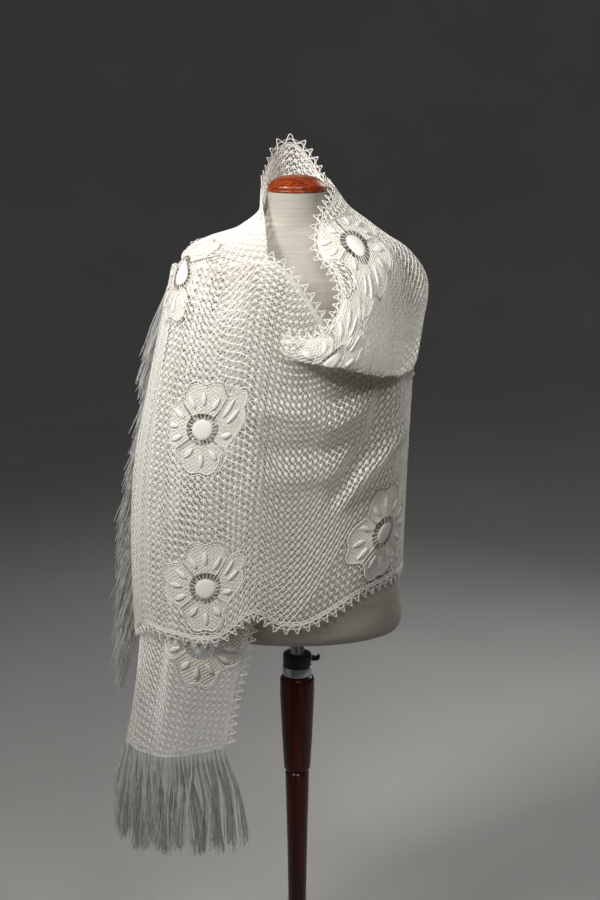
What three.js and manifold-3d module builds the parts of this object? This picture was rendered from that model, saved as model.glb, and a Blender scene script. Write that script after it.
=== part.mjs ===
import * as THREE from "three";
import { mergeVertices } from "three/addons/utils/BufferGeometryUtils.js";
import Module from "manifold-3d";

// A lace shawl wound round a limbless dress form on a turned wooden stand.
// Millimetres, +Z up, the floor at zero and the stand's axis at x = y = 0.
// The front of the form faces -Y and +X is on the viewer's right.

// Driving sizes of the stand and the form
const baseRadius = 190;
const baseHeight = 26;
const stemFootTop = 70;
const stemTop = 476;
const handleBottom = 485;
const handleTop = 659;
const handleRadius = 30;
const ringRadius = 25.5;
const ringHeight = 16.7;
const collarRadius = 24.5;
const collarHeight = 22.7;
const postRadius = 12;
const postClearance = 0.6;
const postHidden = 330;
const boreSpare = 12;
const formBottom = 746;
const neckTop = 1496;
const neckRadius = 48;
const capHeight = 27;
const seamGap = 0.3;

// Driving sizes of the shawl
const clothThick = 1.6;
const flowerRelief = 1.2;
const flowerRadius = 81;
const flowerDip = 23;
const flowerNotch = 7;
const flowerNotchWidth = 0.14;
const ringHoleInner = 18.5;
const ringHoleOuter = 25;
const ringHoles = 8;
const ringHoleShare = 0.62;
const cellAlong = 30;
const pleatCell = 16;
const cellAcross = 40;
const toothPitch = 15;
const toothHeight = 14;
const toothCord = 3.2;
const railWidth = 3.4;
const railThick = 2;
const fringeLength = 185;

// The form's level sections: height, half width, half depth and how far forward its middle is
const formSections = [
  { height: 746, halfWidth: 158, halfDepth: 96, forward: 0 },
  { height: 752, halfWidth: 173, halfDepth: 109, forward: 0 },
  { height: 764, halfWidth: 180, halfDepth: 116, forward: 0 },
  { height: 790, halfWidth: 181, halfDepth: 118, forward: 0 },
  { height: 860, halfWidth: 173, halfDepth: 114, forward: 0 },
  { height: 950, halfWidth: 164, halfDepth: 107, forward: 1 },
  { height: 1040, halfWidth: 156, halfDepth: 102, forward: 3 },
  { height: 1130, halfWidth: 160, halfDepth: 106, forward: 6 },
  { height: 1220, halfWidth: 168, halfDepth: 112, forward: 8 },
  { height: 1300, halfWidth: 172, halfDepth: 104, forward: 5 },
  { height: 1350, halfWidth: 176, halfDepth: 92, forward: 1 },
  { height: 1382, halfWidth: 168, halfDepth: 80, forward: -1 },
  { height: 1404, halfWidth: 153, halfDepth: 70, forward: -2 },
  { height: 1423.8, halfWidth: 132, halfDepth: 61, forward: -2 },
  { height: 1434, halfWidth: 90, halfDepth: 54, forward: -1 },
  { height: 1446, halfWidth: 60, halfDepth: 50, forward: 0 },
  { height: 1468, halfWidth: 48.5, halfDepth: 48, forward: 0 },
  { height: 1496, halfWidth: neckRadius, halfDepth: neckRadius, forward: 0 },
];
const formSides = 24;

// Sections of the cloth's middle surface. Each row is one line across the strip, from the edge at
// the neck to the far edge: the angle round the axis in degrees (0 front, 90 the viewer's right),
// the distance from the axis and the height, level by level.
const endASections = [
  { angle: 262,
    radius: [58, 60, 98, 153, 190, 209, 234, 250, 262, 280, 298],
    height: [1502, 1464, 1436, 1418, 1386, 1270, 1140, 975, 800, 660, 570] },
  { angle: [267, 274, 280, 283, 284, 284, 284, 284, 284, 284, 284],
    radius: [58, 62, 98, 152, 187, 206, 232, 247, 257, 273, 290],
    height: [1502, 1463, 1435, 1416, 1382, 1270, 1140, 975, 800, 655, 558] },
  { angle: [273, 289, 298, 302, 304, 304, 304, 304, 303, 301, 300],
    radius: [58, 66, 98, 141, 166, 189, 210, 224, 230, 238, 246],
    height: [1501, 1461, 1433, 1411, 1375, 1270, 1140, 972, 800, 655, 562] },
  { angle: [279, 303, 315, 321, 323, 322, 322, 321, 318, 309, 307],
    radius: [58, 69, 98, 130, 148, 160, 165, 168, 178, 190, 196],
    height: [1500, 1459, 1431, 1405, 1364, 1270, 1140, 970, 800, 655, 568] },
  { angle: [284, 314, 330, 338, 340, 338, 337, 335, 328, 316, 313],
    radius: [58, 72, 97, 122, 133, 138, 136, 137, 148, 160, 168],
    height: [1499, 1458, 1428, 1400, 1355, 1268, 1138, 968, 800, 655, 576] },
];
const backSections = [
  { angle: 93,
    radius: [64, 94, 139, 182, 203, 197, 189, 182],
    height: [1500, 1461, 1429, 1398, 1345, 1235, 1060, 862] },
  { angle: 112,
    radius: [61, 80, 126, 166, 181, 181, 176, 172],
    height: [1500, 1462, 1430, 1392, 1325, 1210, 1050, 880] },
  { angle: 138,
    radius: [62, 69, 98, 126, 146, 151, 147, 146],
    height: [1508, 1474, 1438, 1396, 1315, 1190, 1050, 905] },
  { angle: 162,
    radius: [63, 65, 80, 108, 131, 137, 133, 137],
    height: [1542, 1494, 1444, 1400, 1312, 1185, 1050, 915] },
  { angle: 184,
    radius: [63, 65, 78, 105, 129, 135, 131, 138],
    height: [1567, 1504, 1448, 1402, 1312, 1180, 1035, 895] },
  { angle: 208,
    radius: [62, 66, 88, 116, 140, 150, 151, 160],
    height: [1560, 1500, 1446, 1402, 1305, 1155, 985, 820] },
  { angle: 234,
    radius: [60, 66, 102, 140, 170, 188, 203, 214],
    height: [1522, 1474, 1438, 1408, 1300, 1110, 900, 700] },
  { angle: 261.6,
    radius: [58, 60, 98, 153, 190, 226, 258, 294],
    height: [1502, 1464, 1436, 1418, 1386, 1180, 880, 578] },
];
const cowlSections = [
  { angle: 92.6,
    radius: [64, 94, 139, 182, 203, 199, 197, 196.5],
    height: [1500, 1461, 1429, 1398, 1345, 1285, 1246, 1242] },
  { angle: [66, 80, 84, 84, 82, 80, 78, 76],
    radius: [67, 98, 143, 186, 215, 209, 198, 190],
    height: [1486, 1463, 1428, 1398, 1352, 1280, 1214, 1232] },
  { angle: [33, 56, 66, 68, 68, 66, 64, 62],
    radius: [81, 101, 136, 175, 196, 197, 184, 171],
    height: [1462, 1452, 1426, 1392, 1330, 1266, 1203, 1226] },
  { angle: [21, 38, 48, 52, 52, 50, 50, 49],
    radius: [104, 122, 152, 176, 186, 190, 184, 171],
    height: [1416, 1420, 1400, 1366, 1305, 1258, 1210, 1230] },
  { angle: [27, 33, 37, 38, 38, 37, 36, 36],
    radius: [145, 157, 171, 182, 188, 192, 188, 172],
    height: [1378, 1376, 1354, 1324, 1284, 1250, 1221, 1240] },
  { angle: [26, 27, 28, 28, 27, 26, 25, 25],
    radius: [166, 172, 178, 184, 188, 192, 189, 172],
    height: [1334, 1328, 1313, 1294, 1272, 1250, 1232, 1250] },
  { angle: [15, 16, 17, 17, 16, 15, 14, 14],
    radius: [172, 176, 180, 183, 185, 186, 183, 168],
    height: [1288, 1285, 1280, 1272, 1262, 1251, 1240, 1255] },
  { angle: [4, 3, 3, 3, 2, 2, 2, 2],
    radius: [168, 171, 174, 176, 177, 177, 174, 162],
    height: [1277, 1273, 1269, 1264, 1259, 1253, 1246, 1256] },
  { angle: [-8, -8.5, -9, -9, -9, -9, -8.5, -8],
    radius: [163, 165, 166, 167, 167, 166, 165, 161],
    height: [1277, 1274, 1271, 1268, 1265, 1262, 1258, 1259] },
];
const wrapSections = [
  { angle: 92.6,
    radius: [194.5, 193, 190, 187, 185, 183, 182],
    height: [1236, 1170, 1105, 1040, 975, 915, 862] },
  { angle: 76,
    radius: [179, 183, 181, 177, 174, 173, 173],
    height: [1256, 1190, 1120, 1050, 980, 915, 861] },
  { angle: 60,
    radius: [163, 167, 165, 159, 156, 156, 158],
    height: [1266, 1200, 1122, 1050, 978, 912, 855] },
  { angle: 42,
    radius: [151, 154, 150, 142, 139, 140, 144],
    height: [1272, 1210, 1130, 1052, 976, 905, 843] },
  { angle: 22,
    radius: [146, 148, 144, 134, 129, 129, 133],
    height: [1279, 1220, 1140, 1060, 975, 890, 817] },
  { angle: 4,
    radius: [147, 149, 145, 135, 129, 129, 134],
    height: [1346, 1258, 1170, 1080, 985, 890, 800] },
  { angle: -12,
    radius: [144, 150, 149, 142, 139, 140, 143],
    height: [1391, 1298, 1200, 1100, 1000, 898, 802] },
  { angle: -26,
    radius: [143, 160, 163, 160, 160, 163, 167],
    height: [1398, 1308, 1206, 1105, 1002, 900, 826] },
  { angle: -42,
    radius: [158, 182, 188, 190, 193, 198, 203],
    height: [1396, 1300, 1198, 1094, 988, 882, 782] },
  { angle: -60,
    radius: [184, 212, 228, 242, 250, 253, 254],
    height: [1391, 1290, 1185, 1080, 975, 875, 786] },
];
const endBSections = [
  { angle: -60.15,
    radius: [184, 212, 228, 242, 250, 253, 254],
    height: [1391, 1290, 1185, 1080, 975, 875, 786] },
  { angle: -70,
    radius: [196, 221, 240, 256, 266, 269, 270],
    height: [1386, 1282, 1176, 1072, 966, 866, 788] },
  { angle: -82,
    radius: [204, 225, 246, 266, 276, 279, 279],
    height: [1380, 1276, 1170, 1066, 960, 860, 762] },
  { angle: -92,
    radius: [205, 224, 244, 265, 275, 278, 279],
    height: [1376, 1272, 1168, 1064, 960, 860, 766] },
  { angle: -101,
    radius: [206, 223, 243, 263, 273, 277, 278],
    height: [1374, 1270, 1166, 1062, 958, 860, 772] },
];

// Soft folds: the line's two ends as shares along and across, its half width and its height
const wrapFolds = [
  { from: [0.21, 0.12], to: [0.27, 0.45], half: 15, rise: -11 },
  { from: [0.26, 0.38], to: [0.4, 0.6], half: 16, rise: -10 },
  { from: [0.08, 0.34], to: [0.36, 0.62], half: 16, rise: 11 },
  { from: [0.3, 0.27], to: [0.72, 0.43], half: 15, rise: 8 },
  { from: [0.25, 0.16], to: [0.58, 0.29], half: 13, rise: -8 },
  { from: [0.33, 0.37], to: [0.66, 0.52], half: 14, rise: -8 },
  { from: [0.38, 0.48], to: [0.68, 0.61], half: 15, rise: 6 },
  { from: [0.7, 0.3], to: [0.72, 0.75], half: 12, rise: 4 },
  { from: [0.92, 0.02], to: [0.8, 0.12], half: 11, rise: -6 },
  { from: [0.9, 0.08], to: [0.78, 0.2], half: 13, rise: 6 },
  { from: [0.12, 0.62], to: [0.3, 0.95], half: 22, rise: 7 },
];
const cowlFolds = [
  { from: [0.27, 0.04], to: [0.31, 0.6], half: 9, rise: 8 },
  { from: [0.35, 0.04], to: [0.38, 0.6], half: 9, rise: 8 },
  { from: [0.43, 0.05], to: [0.45, 0.62], half: 9, rise: 8 },
  { from: [0.51, 0.08], to: [0.52, 0.6], half: 9, rise: 7 },
  { from: [0.13, 0.2], to: [0.18, 0.75], half: 15, rise: 7 },
  { from: [0.55, 0.5], to: [0.88, 0.42], half: 9, rise: 5 },
];
const backFolds = [
  { from: [0.14, 0.35], to: [0.2, 0.95], half: 20, rise: 5 },
  { from: [0.38, 0.4], to: [0.34, 0.98], half: 17, rise: 6 },
  { from: [0.55, 0.36], to: [0.58, 0.97], half: 19, rise: 7 },
  { from: [0.74, 0.3], to: [0.7, 0.96], half: 18, rise: 6 },
  { from: [0.2, 0.2], to: [0.75, 0.22], half: 14, rise: 4 },
];
const endAFolds = [
  { from: [0.62, 0.42], to: [0.52, 1], half: 12, rise: 5 },
  { from: [0.25, 0.4], to: [0.3, 1], half: 20, rise: 8 },
  { from: [0.05, 0.5], to: [0.1, 1], half: 16, rise: -5 },
];
const endBFolds = [
  { from: [0.2, 0.06], to: [0.16, 0.95], half: 12, rise: 6 },
  { from: [0.62, 0.1], to: [0.58, 0.95], half: 14, rise: 5 },
];

// Flowers of the lace: where each disc lies, as shares along and across its stretch, and its turn in degrees
const flowers = {
  shawl_end_a: [[0.714, 0.8], [0.307, 0.201]],
  shawl_back: [[0.1, 0.55], [0.32, 0.82], [0.62, 0.82], [0.5, 0.16]],
  shawl_cowl: [[0.377, 0.181], [0.77, 0.72, 45]],
  shawl_front_wrap: [[0.196, 0.799], [0.889, 0.437], [0.869, 0.864]],
  shawl_end_b: [[0.206, 0.031]],
};

const materials = {
  linen: new THREE.MeshStandardMaterial({ color: 0xb9b4a8, roughness: 0.92, metalness: 0 }),
  lace: new THREE.MeshStandardMaterial({ color: 0xe9e5dc, roughness: 0.85, metalness: 0 }),
  fringe: new THREE.MeshStandardMaterial({ color: 0xdfdcd6, roughness: 0.7, metalness: 0 }),
  capWood: new THREE.MeshStandardMaterial({ color: 0xa9451c, roughness: 0.25, metalness: 0 }),
  darkWood: new THREE.MeshStandardMaterial({ color: 0x4a160c, roughness: 0.3, metalness: 0 }),
  chrome: new THREE.MeshStandardMaterial({ color: 0xc9ccd0, roughness: 0.12, metalness: 1 }),
  blackPlastic: new THREE.MeshStandardMaterial({ color: 0x17171a, roughness: 0.45, metalness: 0 }),
};

const shawlStand = new THREE.Group();
const wasm = await Module();
wasm.setup();

function addPiece(name, geometry, material) {
  const mesh = new THREE.Mesh(geometry, material);
  mesh.name = name;
  shawlStand.add(mesh);
  return mesh;
}

function indexed(points, faces) {
  const geometry = new THREE.BufferGeometry();
  geometry.setAttribute("position", new THREE.Float32BufferAttribute(points.flatMap((p) => [p.x, p.y, p.z]), 3));
  geometry.setIndex(faces.flat());
  geometry.computeVertexNormals();
  return geometry;
}

function toManifold(geometry) {
  const bare = geometry.clone();
  bare.deleteAttribute("normal");
  bare.deleteAttribute("uv");
  const merged = mergeVertices(bare, 1e-4);
  return new wasm.Manifold(new wasm.Mesh({
    numProp: 3,
    vertProperties: new Float32Array(merged.attributes.position.array),
    triVerts: new Uint32Array(merged.index.array),
  }));
}

function fromManifold(solid) {
  const mesh = solid.getMesh();
  const geometry = new THREE.BufferGeometry();
  geometry.setAttribute("position", new THREE.BufferAttribute(new Float32Array(mesh.vertProperties), 3));
  geometry.setIndex(new THREE.BufferAttribute(new Uint32Array(mesh.triVerts), 1));
  geometry.computeVertexNormals();
  return geometry;
}

// Turned pieces: a profile of [radius, height] pairs, spun round the stand's axis
function turned(profile, sides) {
  const lathe = new THREE.LatheGeometry(profile.map(([r, z]) => new THREE.Vector2(r, z)), sides);
  lathe.rotateX(Math.PI / 2);
  return lathe;
}

function arc(centreRadius, centreHeight, radius, fromDegrees, toDegrees, steps) {
  return Array.from({ length: steps + 1 }, (unused, i) => {
    const a = THREE.MathUtils.degToRad(THREE.MathUtils.lerp(fromDegrees, toDegrees, i / steps));
    return [centreRadius + radius * Math.cos(a), centreHeight + radius * Math.sin(a)];
  });
}

// A solid through level oval rings, closed at both ends
function ringSolid(rings, sides) {
  const points = [];
  const faces = [];
  for (const ring of rings) {
    for (let k = 0; k < sides; k += 1) {
      const a = (2 * Math.PI * k) / sides;
      const x = ring.halfWidth * Math.cos(a);
      const y = ring.halfDepth * Math.sin(a) - ring.forward;
      points.push(new THREE.Vector3(x, y, ring.height));
    }
  }
  for (let row = 0; row + 1 < rings.length; row += 1) {
    for (let k = 0; k < sides; k += 1) {
      const next = (k + 1) % sides;
      const [a, b] = [row * sides + k, row * sides + next];
      faces.push([a, b, b + sides], [a, b + sides, a + sides]);
    }
  }
  const last = (rings.length - 1) * sides;
  for (let k = 1; k + 1 < sides; k += 1) {
    faces.push([0, k + 1, k], [last, last + k, last + k + 1]);
  }
  return indexed(points, faces);
}

// A smooth curve's value between rows, through every row
function smooth(knots, values, at) {
  let i = 0;
  while (i + 2 < knots.length && at > knots[i + 1]) i += 1;
  const span = knots[i + 1] - knots[i];
  const u = (at - knots[i]) / span;
  const slope = (k) => {
    const [low, high] = [Math.max(k - 1, 0), Math.min(k + 1, knots.length - 1)];
    return (values[high] - values[low]) / (knots[high] - knots[low]);
  };
  const [u2, u3] = [u * u, u * u * u];
  return (2 * u3 - 3 * u2 + 1) * values[i] + (u3 - 2 * u2 + u) * span * slope(i)
    + (3 * u2 - 2 * u3) * values[i + 1] + (u3 - u2) * span * slope(i + 1);
}

function cylinderPoint(degrees, radius, height) {
  const a = THREE.MathUtils.degToRad(degrees);
  return new THREE.Vector3(radius * Math.sin(a), -radius * Math.cos(a), height);
}

// How far a soft fold lifts the cloth at a place given in millimetres along and across
function foldRise(fold, size, along, across) {
  const from = new THREE.Vector2(fold.from[0] * size.x, fold.from[1] * size.y);
  const line = new THREE.Vector2(fold.to[0] * size.x, fold.to[1] * size.y).sub(from);
  const share = new THREE.Vector2(along, across).sub(from).dot(line) / line.lengthSq();
  const near = THREE.MathUtils.clamp(share, 0, 1);
  const away = new THREE.Vector2(along, across).sub(from).addScaledVector(line, -near).length();
  const taper = Math.sin(Math.PI * THREE.MathUtils.clamp(0.12 + 0.76 * near, 0, 1));
  return fold.rise * taper * Math.exp(-((away / fold.half) ** 2));
}

// The cloth's middle surface as a function of the shares along and across a stretch
function drape(sections, folds, cell = cellAlong) {
  const levels = sections[0].radius.length;
  const columns = ["angle", "radius", "height"].map((key) => sections.map((row) => (
    Array.isArray(row[key]) ? row[key] : new Array(levels).fill(row[key])
  )));
  const corner = (row, level) => cylinderPoint(...columns.map((column) => column[row][level]));
  const knots = [0];
  for (let row = 1; row < sections.length; row += 1) {
    let gap = 0;
    for (let level = 0; level < levels; level += 1) {
      gap += corner(row, level).distanceTo(corner(row - 1, level)) / levels;
    }
    knots.push(knots[row - 1] + gap);
  }
  const length = knots[knots.length - 1];
  const levelKnots = Array.from({ length: levels }, (unused, i) => i);
  const cache = new Map();
  const line = (along) => {
    if (cache.has(along)) return cache.get(along);
    const rows = columns.map((column) => levelKnots.map((level) => (
      smooth(knots, column.map((row) => row[level]), along * length)
    )));
    const steps = 6 * (levels - 1);
    const points = [];
    const reach = [0];
    for (let i = 0; i <= steps; i += 1) {
      const level = (i / steps) * (levels - 1);
      points.push(cylinderPoint(...rows.map((values) => smooth(levelKnots, values, level))));
      if (i > 0) reach.push(reach[i - 1] + points[i].distanceTo(points[i - 1]));
    }
    const done = { points, reach };
    cache.set(along, done);
    return done;
  };
  const plain = (along, across) => {
    const { points, reach } = line(along);
    const want = across * reach[reach.length - 1];
    let i = 0;
    while (i + 2 < reach.length && want > reach[i + 1]) i += 1;
    const u = (want - reach[i]) / (reach[i + 1] - reach[i]);
    return points[i].clone().lerp(points[i + 1], u);
  };
  const middle = line(0.5);
  const size = new THREE.Vector2(length, middle.reach[middle.reach.length - 1]);
  const step = 0.004;
  const normal = (along, across) => {
    const [s0, s1] = [Math.max(along - step, 0), Math.min(along + step, 1)];
    const [t0, t1] = [Math.max(across - 3 * step, 0), Math.min(across + 3 * step, 1)];
    const goAlong = plain(s1, across).sub(plain(s0, across));
    const goAcross = plain(along, t1).sub(plain(along, t0));
    return goAlong.cross(goAcross).normalize();
  };
  const sign = normal(0.5, 0.4).dot(plain(0.5, 0.4).setZ(0)) > 0 ? 1 : -1;
  const outward = (along, across) => normal(along, across).multiplyScalar(sign);
  const point = (along, across) => {
    const rise = folds.reduce((sum, fold) => (
      sum + foldRise(fold, size, along * size.x, across * size.y)
    ), 0);
    return plain(along, across).addScaledVector(outward(along, across), rise);
  };
  return { point, outward, size, sign, cell };
}

// A flower's outline: four round petals, each with a small notch, at an angle from a petal's middle
function flowerEdge(angle) {
  const quarter = Math.PI / 2;
  const fromPetal = angle - quarter * Math.round(angle / quarter);
  const between = Math.sin(2 * Math.abs(fromPetal)) ** 4;
  return flowerRadius - flowerDip * between - flowerNotch * Math.exp(-((fromPetal / flowerNotchWidth) ** 2));
}

// How far the raised lace of the flowers stands out at a place of the stretch
function flowerRise(cloth, discs, along, across) {
  let rise = 0;
  for (const [discAlong, discAcross, turn = 0] of discs) {
    const dx = (along - discAlong) * cloth.size.x;
    const dy = (across - discAcross) * cloth.size.y;
    const angle = Math.atan2(dy, dx) - THREE.MathUtils.degToRad(turn);
    if (Math.hypot(dx, dy) < flowerEdge(angle)) rise = flowerRelief;
  }
  return rise;
}

// A wall of cloth on a grid of its middle surface, raised on the outside at the flowers
function clothWall(cloth, discs) {
  const columns = Math.round(cloth.size.x / cloth.cell);
  const rows = Math.round(cloth.size.y / cellAcross);
  const points = [];
  const faces = [];
  for (let j = 0; j <= rows; j += 1) {
    for (let i = 0; i <= columns; i += 1) {
      const [along, across] = [i / columns, j / rows];
      const middle = cloth.point(along, across);
      const out = cloth.outward(along, across);
      const raised = clothThick / 2 + flowerRise(cloth, discs, along, across);
      points.push(middle.clone().addScaledVector(out, raised));
      points.push(middle.clone().addScaledVector(out, -clothThick / 2));
    }
  }
  const at = (i, j) => 2 * (j * (columns + 1) + i);
  const quad = (a, b, c, d) => {
    faces.push(...(cloth.sign > 0 ? [[a, b, c], [a, c, d]] : [[a, c, b], [a, d, c]]));
  };
  for (let j = 0; j < rows; j += 1) {
    for (let i = 0; i < columns; i += 1) {
      const [a, b, c, d] = [at(i, j), at(i + 1, j), at(i + 1, j + 1), at(i, j + 1)];
      quad(a, b, c, d);
      quad(d + 1, c + 1, b + 1, a + 1);
    }
  }
  for (let i = 0; i < columns; i += 1) {
    quad(at(i + 1, 0), at(i, 0), at(i, 0) + 1, at(i + 1, 0) + 1);
    quad(at(i, rows), at(i + 1, rows), at(i + 1, rows) + 1, at(i, rows) + 1);
  }
  for (let j = 0; j < rows; j += 1) {
    quad(at(0, j), at(0, j + 1), at(0, j + 1) + 1, at(0, j) + 1);
    quad(at(columns, j + 1), at(columns, j), at(columns, j) + 1, at(columns, j + 1) + 1);
  }
  return indexed(points, faces);
}

// One wedge that cuts a hole of the ring round a flower's disc
function ringHoleCutter(cloth, disc, index) {
  const reach = 12;
  const half = (Math.PI / ringHoles) * ringHoleShare;
  const turn = (2 * Math.PI * (index + 0.5)) / ringHoles;
  const corners = [[ringHoleInner, -half], [ringHoleInner, half], [ringHoleOuter, half], [ringHoleOuter, -half]];
  const out = cloth.outward(...disc);
  const centre = cloth.point(...disc);
  const nudge = 6;
  const goAlong = cloth.point(disc[0] + nudge / cloth.size.x, disc[1]).sub(centre).normalize();
  const goAcross = out.clone().cross(goAlong).normalize();
  const points = [];
  for (const side of [-1, 1]) {
    for (const [radius, angle] of corners) {
      points.push(centre.clone()
        .addScaledVector(goAlong, radius * Math.cos(turn + angle))
        .addScaledVector(goAcross, radius * Math.sin(turn + angle))
        .addScaledVector(out, side * reach));
    }
  }
  const faces = [[0, 3, 2], [0, 2, 1], [4, 5, 6], [4, 6, 7]];
  for (let k = 0; k < 4; k += 1) {
    const next = (k + 1) % 4;
    faces.push([k, next, next + 4], [k, next + 4, k + 4]);
  }
  const solid = toManifold(indexed(points, faces));
  return solid.volume() > 0 ? solid : toManifold(indexed(points, faces.map(([a, b, c]) => [a, c, b])));
}

function cutRings(geometry, cloth, discs) {
  let solid = toManifold(geometry);
  for (const disc of discs) {
    for (let index = 0; index < ringHoles; index += 1) {
      solid = solid.subtract(ringHoleCutter(cloth, disc, index));
    }
  }
  return fromManifold(solid);
}

// The zigzag of picots along an edge: a narrow rail and open triangles standing out from it.
// It follows the straight sides of the wall's own grid, so the seam gap stays even.
function picotEdge(cloth, edge, fromShare = 0, toShare = 1) {
  const sideways = edge === "end";
  const cells = Math.round(sideways ? cloth.size.y / cellAcross : cloth.size.x / cloth.cell);
  const place = (share) => {
    if (sideways) return [1, share];
    return [share, edge === "top" ? 0 : 1];
  };
  const inner = (share) => {
    if (sideways) return [0.97, share];
    return [share, edge === "top" ? 0.03 : 0.97];
  };
  const first = Math.round(fromShare * cells);
  const last = Math.round(toShare * cells);
  const points = [];
  const faces = [];
  const gridPoint = (cell) => cloth.point(...place(THREE.MathUtils.clamp(cell / cells, 0, 1)));
  const onEdge = (cell) => {
    const low = Math.min(Math.floor(cell), cells - 1);
    return gridPoint(low).lerp(gridPoint(low + 1), cell - low);
  };
  const frameAt = (cell) => {
    const share = THREE.MathUtils.clamp(cell / cells, 0, 1);
    const out = cloth.outward(...place(share));
    const tangent = onEdge(Math.min(cell + 0.4, cells)).sub(onEdge(Math.max(cell - 0.4, 0))).normalize();
    const away = cloth.point(...place(share)).sub(cloth.point(...inner(share)));
    const side = tangent.clone().cross(out).normalize();
    if (side.dot(away) < 0) side.negate();
    return { out, side };
  };
  const put = (cell, rise) => {
    const { out, side } = frameAt(cell);
    const middle = onEdge(cell).addScaledVector(side, rise + seamGap + railWidth);
    points.push(middle.clone().addScaledVector(out, railThick / 2));
    points.push(middle.clone().addScaledVector(out, -railThick / 2));
    return points.length - 2;
  };
  const middle = (first + last) / 2;
  const cellLength = onEdge(middle + 0.5).distanceTo(onEdge(middle - 0.5));
  const perCell = Math.max(1, Math.round(cellLength / toothPitch));
  const pitch = 1 / perCell;
  const cordShare = toothCord / cellLength;
  const flat = [];
  const sides = [];
  const count = (last - first) * perCell;
  let left = put(first, 0);
  let low = put(first, -railWidth);
  sides.push([left, low]);
  for (let k = 0; k < count; k += 1) {
    const start = first + k * pitch;
    const a1 = put(start + cordShare, 0);
    const a2 = put(start + pitch - cordShare, 0);
    const right = put(start + pitch, 0);
    const rightLow = put(start + pitch, -railWidth);
    const tip = put(start + pitch / 2, toothHeight);
    const tipInner = put(start + pitch / 2, toothHeight - 1.5 * toothCord);
    flat.push([low, rightLow, a2], [low, a2, a1], [low, a1, left], [rightLow, right, a2]);
    flat.push([left, a1, tipInner], [left, tipInner, tip], [a2, right, tip], [a2, tip, tipInner]);
    sides.push([a2, a1], [a1, tipInner], [tipInner, a2], [right, tip], [tip, left], [low, rightLow]);
    left = right;
    low = rightLow;
  }
  sides.push([low, left]);
  for (const [a, b, c] of flat) faces.push([a, b, c], [a + 1, c + 1, b + 1]);
  for (const [a, b] of sides) faces.push([b, a, a + 1], [b, a + 1, b + 1]);
  const solid = toManifold(indexed(points, faces));
  const upright = solid.volume() > 0;
  return indexed(points, upright ? faces : faces.map(([a, b, c]) => [a, c, b]));
}

// Half width of a strand, its root's depth in the strip, and how the hanging ends wander
const strandHalf = 1.3;
const strandRoot = 2.2;
const stripDepth = 6;
const stripThick = 3.8;

// A three sided strand through a few points, closed at both ends
function strand(path, half) {
  const points = [];
  const faces = [];
  path.forEach((at, row) => {
    const ahead = path[Math.min(row + 1, path.length - 1)].clone().sub(path[Math.max(row - 1, 0)]).normalize();
    const across = new THREE.Vector3(ahead.y, -ahead.x, 0);
    if (across.lengthSq() < 1e-3) across.set(1, 0, 0);
    across.normalize();
    const other = ahead.clone().cross(across);
    const size = row + 1 === path.length ? half * 0.6 : half;
    for (let k = 0; k < 3; k += 1) {
      const a = (2 * Math.PI * k) / 3;
      points.push(at.clone().addScaledVector(across, size * Math.cos(a)).addScaledVector(other, size * Math.sin(a)));
    }
  });
  for (let row = 0; row + 1 < path.length; row += 1) {
    for (let k = 0; k < 3; k += 1) {
      const [a, b] = [3 * row + k, 3 * row + ((k + 1) % 3)];
      faces.push([a, b, b + 3], [a, b + 3, a + 3]);
    }
  }
  const end = 3 * (path.length - 1);
  faces.push([0, 2, 1], [end, end + 1, end + 2]);
  return indexed(points, faces);
}

function fringe(cloth, edge, count, route) {
  const sideways = edge === "end";
  const cells = Math.round(sideways ? cloth.size.y / cellAcross : cloth.size.x / cloth.cell);
  const place = (share) => (sideways ? [1, share] : [share, 1]);
  const inner = (share) => (sideways ? [0.97, share] : [share, 0.97]);
  const onEdge = (share) => {
    const cell = share * cells;
    const low = Math.min(Math.floor(cell), cells - 1);
    const a = cloth.point(...place(low / cells));
    return a.lerp(cloth.point(...place((low + 1) / cells)), cell - low);
  };
  const frameAt = (share) => {
    const out = cloth.outward(...place(share));
    const tangent = onEdge(Math.min(share + 0.02, 1)).sub(onEdge(Math.max(share - 0.02, 0))).normalize();
    const side = tangent.clone().cross(out).normalize();
    if (side.dot(cloth.point(...place(share)).sub(cloth.point(...inner(share)))) < 0) side.negate();
    return { out, side };
  };
  const points = [];
  const faces = [];
  for (let i = 0; i <= cells; i += 1) {
    const { out, side } = frameAt(i / cells);
    for (const [depth, rise] of [[seamGap, 1], [seamGap + stripDepth, 1], [seamGap + stripDepth, -1], [seamGap, -1]]) {
      points.push(onEdge(i / cells).addScaledVector(side, depth).addScaledVector(out, (rise * stripThick) / 2));
    }
  }
  for (let i = 0; i < cells; i += 1) {
    for (let k = 0; k < 4; k += 1) {
      const [a, b] = [4 * i + k, 4 * i + ((k + 1) % 4)];
      faces.push([a, b, b + 4], [a, b + 4, a + 4]);
    }
  }
  const end = 4 * cells;
  faces.push([0, 3, 2], [0, 2, 1], [end, end + 1, end + 2], [end, end + 2, end + 3]);
  let solid = toManifold(indexed(points, faces));
  if (solid.volume() < 0) solid = toManifold(indexed(points, faces.map(([a, b, c]) => [a, c, b])));
  const strands = [];
  for (let k = 0; k < count; k += 1) {
    const share = (k + 0.5) / count;
    const { out, side } = frameAt(share);
    const root = onEdge(share).addScaledVector(side, seamGap + stripDepth - strandRoot);
    const path = [root, ...route(k, share, root, side, out)];
    const one = toManifold(strand(path, strandHalf));
    strands.push(one.volume() > 0 ? one : toManifold(flipped(strand(path, strandHalf))));
  }
  return fromManifold(wasm.Manifold.union([solid, ...strands]));
}

function flipped(geometry) {
  const index = Array.from(geometry.index.array);
  for (let k = 0; k < index.length; k += 3) [index[k + 1], index[k + 2]] = [index[k + 2], index[k + 1]];
  geometry.setIndex(index);
  return geometry;
}

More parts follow.
